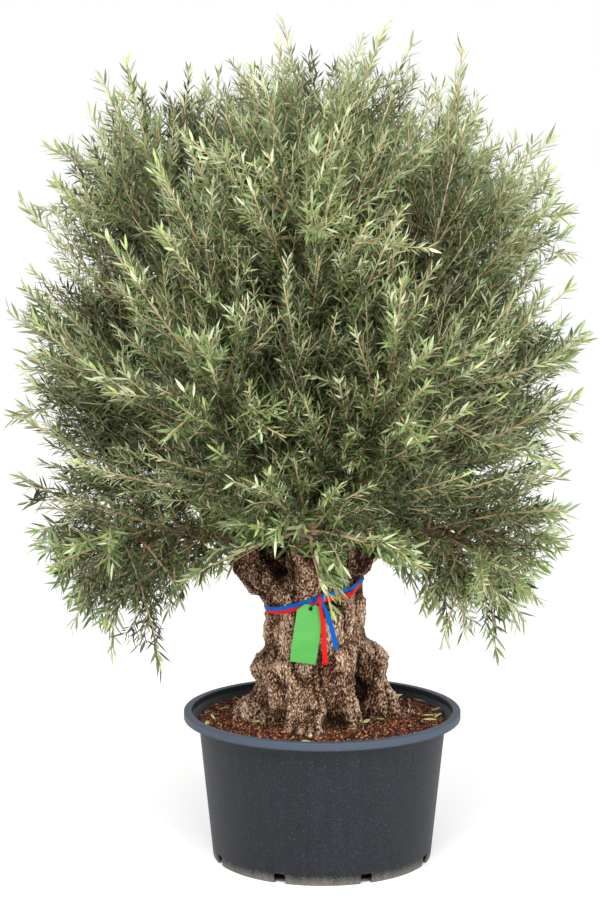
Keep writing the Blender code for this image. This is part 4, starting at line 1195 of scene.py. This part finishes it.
def main_shoots(index, limb, obstacles):
    """The source's fan: shoot i leaves at cos = 1 - (1 - back)(i + start)/n, turned by golden turns."""
    mass = list(MASSES.values())[index]
    draws = np.random.default_rng([SEED, index]).random((MAIN_SHOOTS, 3))
    outward = unit(MIDDLES[index] - np.array(CROWN_HEART) + np.array([0, 0, mass.lift]))
    order = np.arange(MAIN_SHOOTS)
    cosine = (1 - (1 - FAN_BACK) * (order + FAN_START) / MAIN_SHOOTS)[:, None]
    turn = (order * GOLDEN_TURN + SHOOT_TURN * (2 * draws[:, 0] - 1))[:, None]
    direction = outward * cosine + beside(outward, turn) * np.sqrt(1 - cosine ** 2)
    start = curve_points(limb_curves([limb]), 1 - SHOOT_FOOT_SPREAD * draws[None, :, 1])[0]
    distances = np.arange(REACH_STEP, LONGEST_REACH, REACH_STEP)
    points = start[:, None] + direction[:, None] * distances[:, None]
    room = np.minimum(cell_room(points, index), crown_room(points))
    outside = (room < SPACE_MARGIN) | (limb_clearance(points, obstacles) < LIMB_MARGIN)
    first = np.where(outside.any(axis=1), outside.argmax(axis=1), len(distances) - 1)
    length = distances[first] * (SHOOT_SHORTEST_SHARE + (1 - SHOOT_SHORTEST_SHARE) * draws[:, 2])
    tip = start + direction * length[:, None]
    rise = length * (SHOOT_BOW if mass.lift < 0 else -SHOOT_SAG)
    curves = np.stack([start, (start + tip) / 2 + rise[:, None] * UP, tip], axis=1)
    return curves[length >= SHORTEST_SHOOT]


def places_along(curves, spacing, first, last, draw):
    """Which curve and at which share: evenly from first to last, about one to each spacing."""
    lengths = np.linalg.norm(curves[:, 2] - curves[:, 0], axis=-1)
    counts = np.maximum(1, np.round((last - first) * lengths / spacing)).astype(int)
    index = np.repeat(np.arange(len(curves)), counts)
    order = np.arange(counts.sum()) - np.repeat(np.cumsum(counts) - counts, counts)
    shift = draw.uniform(*PLACE_SHIFT, len(index))
    return index, order, first + (last - first) * (order + shift) / counts[index]


def side_shoots(parents, pull, order, obstacles, draw):
    """Side shoots by golden turns, leaning from their parent and turned outward from the heart.

    Each is a share of what its parent has left, cut down to the room inside the crown's edge.
    """
    index, place, share = places_along(parents, order.spacing, order.first, order.last, draw)
    count = len(index)
    start = curve_points(parents[index], share[:, None])[:, 0]
    along = curve_directions(parents[index], share[:, None])[:, 0]
    turn = (place * GOLDEN_TURN + index * PARENT_TURN + draw.uniform(*TURN_SHIFT, count))[:, None]
    lean = np.radians(order.angle * draw.uniform(*LEAN_SHARE, count))[:, None]
    direction = along * np.cos(lean) + beside(along, turn) * np.sin(lean)
    direction = unit(direction + order.turn * unit(start - np.array(CROWN_HEART)))
    left = np.linalg.norm(parents[index, 2] - start, axis=-1)
    wanted = np.minimum(order.least + order.share * left, order.longest)
    wanted = wanted * draw.uniform(*LENGTH_SHARE, count)
    inset = order.margin * draw.uniform(*MARGIN_SHARE, count)
    points = start[:, None] + direction[:, None] * (wanted[:, None] * REACH_TESTS)[..., None]
    room = crown_room(points) - order.fringe * fringe(points)
    free = np.cumprod(room > inset[:, None], axis=1).mean(axis=1)
    length = wanted * free * (1 - STOP_SHORT * draw.random(count) ** STOP_SHORT_POWER)
    tip = start + direction * length[:, None] + UP * (pull[index] * length)[:, None]
    bend = start + direction * length[:, None] * BEND_SHARE
    clear = limb_clearance(np.stack([bend, tip], axis=1), obstacles).min(axis=1) > LIMB_MARGIN
    kept = clear & clear_of_arch(tip) & (length > order.shortest)
    return np.stack([start, bend, tip], axis=1)[kept], index[kept]


def long_shoots(limbs, obstacles, draw):
    """The fans and all side shoots of boughs and arms, with the pull on each."""
    boughs = limb_curves(limbs.values())
    bough_pull = np.array([PULL if mass.lift > 0 else -PULL for mass in MASSES.values()])
    arm_pull = np.full(len(ARMS), PULL)
    shoots = [main_shoots(index, limb, obstacles) for index, limb in enumerate(limbs.values())]
    pulls = [np.repeat(bough_pull, [len(fan) for fan in shoots])]
    for parents, pull, share, order in (
        (boughs, bough_pull, BOUGH_SHOOT_PULL_SHARE, BOUGH_SHOOTS),
        (boughs, bough_pull, 1.0, HEART_SHOOTS),
        (boughs, bough_pull, 1.0, COVER_SHOOTS),
        (limb_curves(ARMS.values()), arm_pull, 1.0, ARM_SHOOTS),
    ):
        grown, owner = side_shoots(parents, pull * share, order, obstacles, draw)
        shoots.append(grown)
        pulls.append(pull[owner])
    shoots, pulls = np.concatenate(shoots), np.concatenate(pulls)
    clear = clear_of_arch(shoots[:, 2])
    return shoots[clear], pulls[clear]


Leaves = namedtuple("Leaves", "root direction top length width spray share")


def leaf_pairs(curves, first, draw):
    """Opposite pairs, each turned a quarter from the last, folding forward towards the tip."""
    index, order, share = places_along(curves, LEAF_SPACING, first, 1.0, draw)
    index, order, share = (np.repeat(values, 2) for values in (index, order, share))
    count = len(index)
    hand = np.tile([0.0, math.pi], count // 2)
    root = curve_points(curves[index], share[:, None])[:, 0]
    along = curve_directions(curves[index], share[:, None])[:, 0]
    shift = draw.uniform(*LEAF_TURN_SHIFT, count)
    turn = (order * math.pi / 2 + index * LEAF_PARENT_TURN + hand + shift)[:, None]
    shift = draw.uniform(*LEAF_OPENING_SHIFT, count)
    opening = np.radians(LEAF_OPENING - LEAF_CLOSING * share ** 2 + shift)[:, None]
    direction = along * np.cos(opening) + beside(along, turn) * np.sin(opening)
    upward = along * LEAF_FORWARD + UP * LEAF_UPWARD + draw.normal(0, LEAF_ROLL, (count, 3))
    length = LEAF_LENGTH * draw.uniform(*LEAF_LENGTH_SHARE, count)
    width = LEAF_WIDTH * draw.uniform(*LEAF_WIDTH_SHARE, count)
    return Leaves(root, direction, square_to(direction, upward), length, width, index, share)


# A leaf's corners as shares of its length, width and thickness, with its faces above and below.
Blade = namedtuple("Blade", "corners above below")
FULL_BLADE = Blade(
    (
        (0, 0, 0), (0.30, 0.45, 0), (0.64, 0.40, 0), (1, 0, 0),
        (0.64, -0.40, 0), (0.30, -0.45, 0), (0.45, 0, -1),
    ),
    ((0, 5, 1), (1, 5, 4), (1, 4, 2), (2, 4, 3)),
    ((0, 1, 6), (1, 2, 6), (2, 3, 6), (3, 4, 6), (4, 5, 6), (5, 0, 6)),
)
PLAIN_BLADE = Blade(
    ((0, 0, -1), (0.45, 0.5, 0), (0.45, -0.5, 0), (1, 0, -1)),
    ((0, 2, 1), (1, 2, 3)),
    ((0, 1, 3), (0, 3, 2)),
)


def leaf_mesh(leaves, blade):
    """Blades: root + length along + width across, bent back by the square of the share."""
    across = np.cross(leaves.top, leaves.direction)
    vertices = []
    for forward, sideways, down in blade.corners:
        reach = leaves.length * forward - (LEAF_SINK if forward == 0 else 0)
        rise = LEAF_BEND * leaves.length * forward ** 2 + LEAF_THICKNESS * down
        vertices.append(
            leaves.root
            + leaves.direction * reach[:, None]
            + across * (leaves.width * sideways)[:, None]
            + leaves.top * rise[:, None]
        )
    return np.stack(vertices, axis=1)


def build_leaves(name, finishes, slot, leaves, blade):
    """Pieces of leaves with one finish above and one below, each under the limit on its size."""
    blades = leaf_mesh(leaves, blade)
    corners = np.array(blade.above + blade.below)
    sides_of_one = np.repeat([0, 1], [len(blade.above), len(blade.below)])
    most = TRIANGLES_A_PIECE // len(corners)
    made = []
    for start in range(0, len(blades), most):
        part = blades[start:start + most]
        faces = repeated(corners, len(part), len(blade.corners))
        sides = np.tile(sides_of_one, len(part))
        number = start // most + 1
        made.append(piece(
            f"{name}_{number}", finishes, part.reshape(-1, 3), faces,
            finish_index=sides, smooth=False, slot=slot,
        ))
    return made


def smaller(leaves, mask, share):
    """The leaves, with some of them smaller."""
    size = np.where(mask, share, 1.0)
    return leaves._replace(length=leaves.length * size, width=leaves.width * size)


def grown_leaves(shoots, branches, twigs, owner, bearer, obstacles, draw):
    """All leaves with their tones, less those in the limbs or outside the crown, and the outer ones."""
    shoot_shade = draw.normal(0, SHOOT_TONE_SPREAD, len(shoots))
    tone = shoot_shade[owner] + draw.normal(0, BRANCH_TONE_SPREAD, len(branches))
    tips = branches[:, 2]
    height = (tips[:, 2] - CROWN_LOWEST) / (TONE_TOP - CROWN_LOWEST)
    depth = np.clip(crown_room(tips), 0, TONE_DEEPEST)
    # Painted light and shade: the tone is lighter higher up and to the right, darker deeper in the crown.
    tone = tone + TONE_HEIGHT * height + TONE_DEPTH * depth + TONE_LEVEL
    tone = tone + TONE_SIDE * (tips[:, 0] - CROWN_MIDDLE[0])
    twig_tone = tone[bearer] + draw.normal(0, TWIG_TONE_SPREAD, len(twigs))
    groups, tones = [], []
    kinds = ((shoots, SHOOT_TONE + shoot_shade), (branches, tone), (twigs, twig_tone))
    for (curves, spray_tone), leafless in zip(kinds, LEAFLESS_SHARES):
        groups.append(leaf_pairs(curves, leafless, draw))
        tones.append(spray_tone[groups[-1].spray])
    leaves, tones = Leaves(*[np.concatenate(values) for values in zip(*groups)]), np.concatenate(tones)
    tips = leaves.root + leaves.direction * leaves.length[:, None]
    near = (np.hypot(tips[:, 0], tips[:, 1]) < LIMB_REACH) & (tips[:, 2] < LIMB_TOP)
    kept = crown_room(tips) > edge_margin(tips)
    kept[near] &= limb_clearance(tips[near], obstacles) > LEAF_CLEARANCE
    room = crown_room(leaves.root)
    kept &= (room < HEART_ROOM) | (draw.random(len(room)) < HEART_LEAVES)
    leaves, tones = Leaves(*[values[kept] for values in leaves]), tones[kept]
    outer = room[kept] < INNER_ROOM
    young = (leaves.share > YOUNG_START) & outer & (draw.random(len(tones)) < YOUNG_SHARE)
    leaves = smaller(smaller(leaves, ~outer, INNER_LEAF_SHARE), young, YOUNG_LEAF_SHARE)
    # Painted light: outer leaves are lighter, more so near their tips.
    tones = tones + (TONE_OUTER + TONE_OUTER_TIP * (leaves.share > OUTER_TIP_START)) * outer
    return leaves, np.where(young, YOUNG_TONE, tones), outer


def build_crown(limbs):
    """All shoots, branches, twigs and leaves of the crown."""
    stretches = [limb_samples(limb, STEM_LENGTH) for limb in limbs.values()]
    stretches += [limb_samples(arm, 0.0) for arm in ARMS.values()]
    obstacles = tuple(np.concatenate(values) for values in zip(*stretches))
    draw = np.random.default_rng([SEED, CROWN_SEED])
    shoots, pull = long_shoots(limbs, obstacles, draw)
    branches, owner = side_shoots(shoots, pull, BRANCHES, obstacles, draw)
    twigs, bearer = side_shoots(branches, pull[owner], TWIGS, obstacles, draw)
    leaves, tones, outer = grown_leaves(shoots, branches, twigs, owner, bearer, obstacles, draw)
    masses = [f"foliage_{name}" for name in MASSES]
    for name, tint in TINTS.items():
        chosen = (tones >= tint.least) & (tones < tint.most)
        finishes = [
            plain_finish(f"{name} leaf top", tint.top, 0.42),
            plain_finish(f"{name} leaf underside", tint.underside, 0.62, 0.3),
        ]
        for kind, blade, where in (("outer", FULL_BLADE, outer), ("inner", PLAIN_BLADE, ~outer)):
            group = Leaves(*[values[chosen & where] for values in leaves])
            for made in build_leaves(f"leaves_{name}_{kind}", finishes, "leaves", group, blade):
                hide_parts(*masses)
    wood = plain_finish("shoot bark", rgb(178, 152, 116), 0.7)
    green_wood = plain_finish("twig bark", rgb(174, 158, 112), 0.65)
    thick = tube_rings(shoots, *SHOOT_RADII, *SHOOT_GRID), tube_rings(branches, *BRANCH_RADII, *BRANCH_GRID)
    thin = tube_rings(twigs, *TWIG_RADII, *TWIG_GRID)
    woody = piece("shoots", [wood], *stacks(thick), slot="bark")
    fine = piece("twigs", [green_wood], *stacks([thin]), slot="bark")
    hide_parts(*masses)
    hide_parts(*masses)


def band_height(x, y):
    """The height of the bands' middle: a slope, pulled up at the knot and sagging to its left."""
    pull = BAND_PULL * bell((x - KNOT_PLACE) / BAND_REACH)
    sag = BAND_SAG * bell((x - BAND_SAG_PLACE) / BAND_REACH)
    return BAND_HEIGHT + BAND_SLOPE * x + (pull - sag) * (y < 0)


def band_loop(bark_places, rise):
    """A taut loop round the bark near the band: in each direction the least reach that no side cuts."""
    height = band_height(bark_places[:, 0], bark_places[:, 1]) + rise
    near = np.abs(bark_places[:, 2] - height) < BAND_WIDTH / 2
    middle = np.array(TRUNK_FORK_MIDDLE)
    plan = bark_places[near, :2] - middle
    ways = arc((0, 0), 1, 0, 2 * math.pi * (1 - 1 / BAND_POINTS), BAND_POINTS)
    support = (plan @ ways.T).max(axis=0)
    aligned = ways @ ways.T
    reaches = support[None] / np.maximum(aligned, BAND_LEAST_FACING)
    reach = np.min(np.where(aligned > BAND_LEAST_FACING, reaches, FAR), axis=1)
    loop = middle + ways * (reach + BAND_THICKNESS / 2 + BAND_LIFT)[:, None]
    return np.column_stack([loop, band_height(loop[:, 0], loop[:, 1]) + rise])


def strap(path, across, widths, thickness, closed=False):
    """Rings of a strap: path + a (w/2) |cos t|^(1/2) + n (d/2) |sin t|^(1/2), each with its sign."""
    before = np.roll(path, 1, axis=0) if closed else np.vstack([path[:1], path[:-1]])
    after = np.roll(path, -1, axis=0) if closed else np.vstack([path[1:], path[-1:]])
    along = unit(after - before)
    across = square_to(along, np.tile(np.array(across, dtype=float), (len(path), 1)))
    outward = np.cross(along, across)
    turns = full_turn(STRAP_SIDES) + math.pi / STRAP_SIDES
    side, rise = (np.sign(wave) * np.sqrt(np.abs(wave)) for wave in (np.cos(turns), np.sin(turns)))
    half = np.broadcast_to(widths, len(path))[:, None, None] / 2
    section = across[:, None] * side[:, None] * half + outward[:, None] * rise[:, None] * thickness / 2
    return path[:, None] + section


def through(stops, count):
    """A smooth path through a few points: each coordinate blended along them by a cubic through four."""
    stops = np.array(stops, dtype=float)
    padded = np.vstack([2 * stops[0] - stops[1], stops, 2 * stops[-1] - stops[-2]])
    place = np.linspace(0, len(stops) - 1, count)
    first = np.minimum(place.astype(int), len(stops) - 2)
    t = (place - first)[:, None]
    a, b, c, d = (padded[first + step] for step in range(4))
    square = 2 * a - 5 * b + 4 * c - d
    cube = 3 * b - a - 3 * c + d
    return 0.5 * (2 * b + (c - a) * t + square * t ** 2 + cube * t ** 3)


def build_ribbon(bark_places):
    """Two taut bands round the waist, a small knot in front and two loose tails."""
    finishes = {
        "blue": ribbon_finish("blue ribbon", rgb(0, 76, 166), rgb(0, 110, 206)),
        "red": ribbon_finish("red ribbon", rgb(200, 20, 20), rgb(238, 36, 32)),
    }
    fronts = []
    for colour, side in (("blue", 1), ("red", -1)):
        loop = band_loop(bark_places, side * (BAND_WIDTH / 2 + BAND_GAP))
        rings = strap(loop, (-BAND_SLOPE, 0, 1), BAND_WIDTH, BAND_THICKNESS, True)
        band = ring_piece(f"band_{colour}", finishes[colour], f"ribbon_{colour}", rings)
        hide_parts(f"ribbon_{colour}")
        fronts.append(loop[np.abs(loop[:, 0] - KNOT_PLACE) < KNOT_HALF_WIDTH, 1].min())
    front = min(fronts) - BAND_THICKNESS / 2
    knot = np.array([KNOT_PLACE, front, band_height(KNOT_PLACE, -1.0)])
    shares = np.linspace(0, 1, FOLD_POINTS)
    for name, fold in FOLDS.items():
        path = through(np.array(fold.stops) * MILLIMETRE + knot, FOLD_POINTS)
        widths = np.interp(shares, np.linspace(0, 1, len(fold.widths)), fold.widths) * MILLIMETRE
        rings = strap(path, fold.across, widths, fold.thickness * MILLIMETRE)
        made = piece(name, [finishes[fold.colour]], *stacks([rings]), slot=f"ribbon_{fold.colour}")
        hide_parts(fold.node)
    return knot


def tag_outline(turns):
    """The tag's edge seen from its eyelet: the nearest of its six sides in each direction."""
    half, top = TAG_WIDTH / 2, TAG_EYELET_DROP
    slant = math.sqrt(0.5)
    corner = ((half - TAG_CLIP) + top) * slant
    sides = ((0, 1, top), (0, -1, TAG_HEIGHT - top), (1, 0, half), (-1, 0, half))
    reach = np.full(len(turns), FAR)
    for x, y, distance in (*sides, (slant, slant, corner), (-slant, slant, corner)):
        toward = np.cos(turns) * x + np.sin(turns) * y
        cut = distance / np.maximum(toward, TAG_LEAST_FACING)
        reach = np.where(toward > TAG_LEAST_FACING, np.minimum(reach, cut), reach)
    return np.stack([reach * np.cos(turns), reach * np.sin(turns)], axis=-1)


def build_tag(bark_places, card, eyelet_finish):
    """The bare card, hanging askew from its eyelet before the bark, with a dark ring in the hole."""
    turns = full_turn(TAG_POINTS)
    edge = tag_outline(turns)
    hole = np.stack([np.cos(turns), np.sin(turns)], axis=-1) * TAG_HOLE
    axes = np.array([
        (math.cos(TAG_LEAN), 0.0, math.sin(TAG_LEAN)),
        (-math.sin(TAG_LEAN), 0.0, math.cos(TAG_LEAN)),
    ])
    x, z = TAG_EYELET
    low, high = TAG_BACK_HEIGHTS
    behind = (bark_places[:, 1] < 0) & (np.abs(bark_places[:, 0] - x) < TAG_BACK_HALF_WIDTH)
    behind &= (bark_places[:, 2] > low) & (bark_places[:, 2] < high)
    middle = np.array([x, min(TAG_FRONT, bark_places[behind, 1].min() - TAG_CLEARANCE), z])

    def ring(outline, depth):
        return middle + outline @ axes + (0.0, depth, 0.0)

    inner = unit(edge) * (np.linalg.norm(edge, axis=-1, keepdims=True) - TAG_BEVEL)
    rows = [ring(hole, 0.0)]
    rows += [ring(hole + (inner - hole) * share, 0.0) for share in TAG_FACE_RINGS]
    rows += [ring(edge, TAG_BEVEL), ring(edge, TAG_THICKNESS - TAG_BEVEL)]
    rows += [ring(inner, TAG_THICKNESS), ring(hole, TAG_THICKNESS)]
    tag = ring_piece("tag_card", card, "tag", np.stack(rows)[::-1], smooth=False)
    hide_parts("tag")
    around = ring(hole * EYELET_SHARE, TAG_THICKNESS / 2)
    collar = strap(around, (0, 1, 0), EYELET_WIDTH, EYELET_THICKNESS, True)
    eyelet = ring_piece("tag_eyelet", eyelet_finish, "string", collar)
    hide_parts("tag_string")
    return middle


def build_string(eyelet, knot, finish):
    """Two dark strands from the knot's fold, twisted round one another, through the eyelet and back."""
    top = knot + STRING_TOP
    for number, hand in enumerate((-1, 1)):
        stops = (
            top + (0.001 * hand, 0.000, 0.004),
            top * 0.6 + eyelet * 0.4 + (0.0016 * hand, -0.0045, 0.001),
            eyelet + (0.0012 * hand + 0.001, -0.0050, 0.004),
            eyelet + (0.0005 * hand, -0.0010 + 0.0015 * hand, 0.000),
            eyelet + (0.0008 * hand, 0.0040, 0.003),
        )
        path = through(stops, STRING_POINTS)
        turns = (0 if hand > 0 else math.pi, STRING_TURN + (0 if hand > 0 else math.pi))
        path[:, :2] += arc((0, 0), STRING_TURN_RADIUS, *turns, STRING_POINTS)
        rings = strap(path, (1, 0, 0), STRING_THICKNESS, STRING_THICKNESS)
        strand = piece(f"string_{number + 1}", [finish], *stacks([rings]), slot="string")
        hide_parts("tag_string")


def pot_section():
    """The pot's section: rounded foot, tapering wall, rolled rim, and back down the inside."""
    under_rim = POT_HEIGHT - POT_RIM_DEPTH
    quarter = math.pi / 2
    foot_middle = (POT_FOOT_RADIUS - FOOT_ROUNDING, FOOT_ROUNDING)
    rim_foot_middle = (POT_RIM_RADIUS - RIM_FOOT_ROUNDING, under_rim + RIM_FOOT_ROUNDING)
    rim_top_middle = (POT_RIM_RADIUS - RIM_TOP_ROUNDING, POT_HEIGHT - RIM_TOP_ROUNDING)
    lip_middle = (POT_MOUTH_RADIUS + LIP_ROUNDING, POT_HEIGHT - LIP_ROUNDING)
    share = np.linspace(*WALL_STRETCH, WALL_ROWS)[:, None]
    wall_foot = np.array([POT_FOOT_RADIUS, FOOT_ROUNDING])
    wall_top = np.array([POT_SHOULDER_RADIUS, under_rim])
    return np.concatenate([
        arc(foot_middle, FOOT_ROUNDING, -quarter, 0, ROUNDING_POINTS),
        wall_foot + (wall_top - wall_foot) * share,
        [(POT_SHOULDER_RADIUS + RIM_TUCK_REACH, under_rim - RIM_TUCK_DROP)],
        [(POT_RIM_RADIUS - RIM_UNDERCUT, under_rim)],
        arc(rim_foot_middle, RIM_FOOT_ROUNDING, RIM_FOOT_START, 0, ROUNDING_POINTS),
        arc(rim_top_middle, RIM_TOP_ROUNDING, 0, quarter, RIM_TOP_POINTS),
        arc(lip_middle, LIP_ROUNDING, quarter, 2 * quarter, ROUNDING_POINTS),
        [(POT_MOUTH_RADIUS, POT_HEIGHT - MOUTH_DEPTH)],
        [(POT_SHOULDER_RADIUS - POT_WALL, under_rim - POT_SHOULDER_DEPTH)],
        [(POT_FOOT_RADIUS - POT_WALL, POT_FLOOR)],
    ])


def notch_rings(index):
    """A box with rounded top corners that cuts one drainage notch, turned to its place."""
    depth, width, height = NOTCH_SIZE
    half = width / 2
    turn = 2 * math.pi * (index + 0.5) / NOTCH_COUNT
    middle = (half - NOTCH_ROUNDING, height - NOTCH_ROUNDING)
    right = arc(middle, NOTCH_ROUNDING, 0, math.pi / 2, ROUNDING_POINTS)
    outline = np.concatenate([[(half, -height)], right, right[::-1] * (-1, 1), [(-half, -height)]])
    side, rise = outline.T
    reach = POT_FOOT_RADIUS + np.array([-depth / 2, depth / 2])[:, None]
    x = reach * math.cos(turn) - side * math.sin(turn)
    y = reach * math.sin(turn) + side * math.cos(turn)
    return np.stack([x, y, rise + 0 * x], axis=-1)


def build_pot(finish):
    """The pot turned about Z, with its drainage notches cut."""
    pot = piece("pot_shell", [finish], *stacks([turned(pot_section(), POT_SIDES)]), slot="pot")
    cutter = piece("notches", [], *stacks([notch_rings(index) for index in range(NOTCH_COUNT)]))
    cut = pot.modifiers.new("Notches", "BOOLEAN")
    cut.operation = "DIFFERENCE"
    cut.object = cutter
    cut.solver = "EXACT"
    mesh = finished_mesh(pot)
    bpy.data.objects.remove(cutter, do_unlink=True)
    mesh.shade_smooth()
    mesh.set_sharp_from_angle(angle=POT_SHARP_ANGLE)
    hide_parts("pot")


def build_soil(finish):
    """The soil's body, with a crumbly top: height = level + lumps and crumbs of noise."""
    rise = POT_HEIGHT - POT_RIM_DEPTH - POT_SHOULDER_DEPTH - POT_FLOOR
    inner_foot = POT_FOOT_RADIUS - POT_WALL
    widening = (POT_SHOULDER_RADIUS - POT_FOOT_RADIUS) / rise

    def radius(height):
        return inner_foot + widening * (height - POT_FLOOR) - SOIL_WALL_GAP

    edge = SOIL_LEVEL - SOIL_EDGE_DROP
    sides = [
        (radius(POT_FLOOR) - SOIL_CHAMFER, POT_FLOOR + SOIL_FLOOR_GAP),
        (radius(SOIL_CHAMFER), SOIL_CHAMFER),
        (radius(edge), edge),
    ]
    reaches = np.linspace(radius(edge) - SOIL_TOP_INSET, SOIL_TOP_MIDDLE, SOIL_TOP_ROWS)
    rings = turned(sides + [(reach, SOIL_LEVEL - SOIL_TOP_DROP) for reach in reaches], SOIL_SIDES)
    top = rings[len(sides):]
    lumps = Noise(8).at(top / LUMP_SIZE) + CRUMB_SHARE * Noise(9).at(top / CRUMB_SIZE)
    top[..., 2] += SOIL_RELIEF * (lumps - LUMP_MEAN)
    soil = piece("soil_body", [finish], *stacks([rings]), slot="soil")
    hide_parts("soil")


def scattered_on_soil(count, draw):
    """Places evenly over the soil outside the trunk, on its level."""
    least, most = LITTER_REACH
    reach = np.sqrt(draw.uniform(least ** 2, most ** 2, count * 2))
    angle = draw.uniform(0, 2 * math.pi, count * 2)
    x, y = reach * np.cos(angle), reach * np.sin(angle)
    middle = np.array(TRUNK_FOOT_MIDDLE)
    away = np.hypot(x - middle[0], y - middle[1])
    bark = trunk_radius(np.arctan2(y - middle[1], x - middle[0]), np.full(count * 2, LITTER_HEIGHT))
    kept = np.flatnonzero(away > bark)[:count]
    return np.stack([x[kept], y[kept], np.full(len(kept), SOIL_LEVEL)], axis=-1)


def build_chips(draw):
    """Bark chips: stretched octahedra with shaken corners, lying at random turns."""
    corners = np.array([(1, 0, 0), (0, 1, 0), (-1, 0, 0), (0, -1, 0), (0, 0, 1), (0, 0, -1)], dtype=float)
    upper = [(0, 1, 4), (1, 2, 4), (2, 3, 4), (3, 0, 4)]
    faces = np.array(upper + [(second, first, 5) for first, second, _ in upper])
    places = scattered_on_soil(CHIP_COUNT, draw)
    count = len(places)
    sizes = draw.uniform(*CHIP_SIZE, (count, 1)) * np.array(CHIP_SHAPE)
    sizes = sizes * draw.uniform(*CHIP_STRETCH, (count, 3))
    local = corners[None] * sizes[:, None] + draw.normal(0, CHIP_SHAKE, (count, 6, 3))
    first = unit(draw.normal(0, 1, (count, 3)) * (1, 1, CHIP_TILT))
    second = unit(np.cross(unit(draw.normal(0, 1, (count, 3))), first))
    axes = np.stack([first, second, np.cross(first, second)], axis=1)
    places[:, 2] += draw.uniform(*CHIP_LIFT, count)
    vertices = places[:, None] + local @ axes
    share = np.array_split(np.arange(count), len(CHIP_TONES))
    for (name, tones), members in zip(CHIP_TONES.items(), share):
        chips = vertices[members].reshape(-1, 3), repeated(faces, len(members), 6)
        finish = chip_finish(name, *tones)
        piece(name.replace(" ", "_"), [finish], *chips, smooth=False, slot="soil")


def build_fallen_leaves(draw):
    """A few pale leaves lying on the soil."""
    root = scattered_on_soil(FALLEN_LEAVES, draw) + (0, 0, FALLEN_LIFT)
    count = len(root)
    turn = draw.uniform(0, 2 * math.pi, count)
    direction = unit(np.stack([np.cos(turn), np.sin(turn), draw.uniform(*FALLEN_TILT, count)], axis=-1))
    top = square_to(direction, UP + draw.normal(0, FALLEN_ROLL, (count, 3)))
    length = draw.uniform(*FALLEN_LENGTH, count)
    width = draw.uniform(*FALLEN_WIDTH, count)
    leaves = Leaves(root - direction * length[:, None] / 2, direction, top, length, width, None, None)
    finishes = [
        plain_finish("fallen leaf top", rgb(182, 190, 124), 0.55),
        plain_finish("fallen leaf underside", rgb(206, 208, 164), 0.6),
    ]
    build_leaves("fallen_leaves", finishes, "soil", leaves, FULL_BLADE)


def build_floor():
    """The pale floor that the pot stands on."""
    floor_finish = Finish("pale floor", {
        "Base Color": FLOOR_COLOUR, "Roughness": 0.9, "Specular IOR Level": 0.1,
        "Emission Color": WHITE, "Emission Strength": FLOOR_GLOW,
    })
    signs = ((-1, -1), (1, -1), (1, 1), (-1, 1))
    corners = [(x * FLOOR_REACH, y * FLOOR_REACH, 0) for x, y in signs]
    floor = piece("floor", [floor_finish], corners, np.array([(0, 1, 2, 3)]))


def placed(name, data, place, turn):
    """Puts a lamp or the camera in the scene, looking down before its turn."""
    thing = bpy.data.objects.new(name, data)
    bpy.context.scene.collection.objects.link(thing)
    thing.location = place
    thing.rotation_euler = turn
    return thing


def set_light():
    """Soft white light all round, with a large soft lamp above the front left and a weak one right."""
    world = bpy.data.worlds.new("studio")
    bpy.context.scene.world = world
    world.use_nodes = True
    light_all_round = world.node_tree.nodes["Background"].inputs
    light_all_round["Color"].default_value = WHITE
    light_all_round["Strength"].default_value = 1.0
    for name, (place, size, power) in LAMPS.items():
        lamp = bpy.data.lights.new(name, "AREA")
        lamp.shape = "DISK"
        lamp.size = size
        lamp.energy = power
        x, y, z = np.array(LAMP_AIM) - np.array(place)
        placed(name, lamp, place, (math.atan2(math.hypot(x, y), -z), 0.0, math.atan2(-x, y)))


def set_camera():
    """The camera at the photograph's angle."""
    lens = bpy.data.cameras.new("camera")
    lens.sensor_width = CAMERA_SENSOR
    lens.lens = CAMERA_SENSOR * CAMERA_FOCUS
    lens.clip_end = CAMERA_SIGHT
    turn = (math.pi / 2 - CAMERA_PITCH, 0.0, 0.0)
    bpy.context.scene.camera = placed("camera", lens, CAMERA_PLACE, turn)
    bpy.context.scene.view_settings.view_transform = "Standard"


def main():
    """Dresses the part and sets the scene."""
    draw = np.random.default_rng([SEED, LITTER_SEED])
    limbs = bough_limbs()
    bark_places = build_trunk(bark_finish(), limbs)
    build_boughs(bough_finish(), limbs)
    knot = build_ribbon(bark_places)
    string = string_finish()
    eyelet = build_tag(bark_places, tag_finish(), string)
    build_string(eyelet, knot, string)
    build_crown(limbs)
    build_pot(pot_finish())
    build_soil(soil_finish())
    build_chips(draw)
    build_fallen_leaves(draw)
    build_floor()
    set_light()
    set_camera()


main()
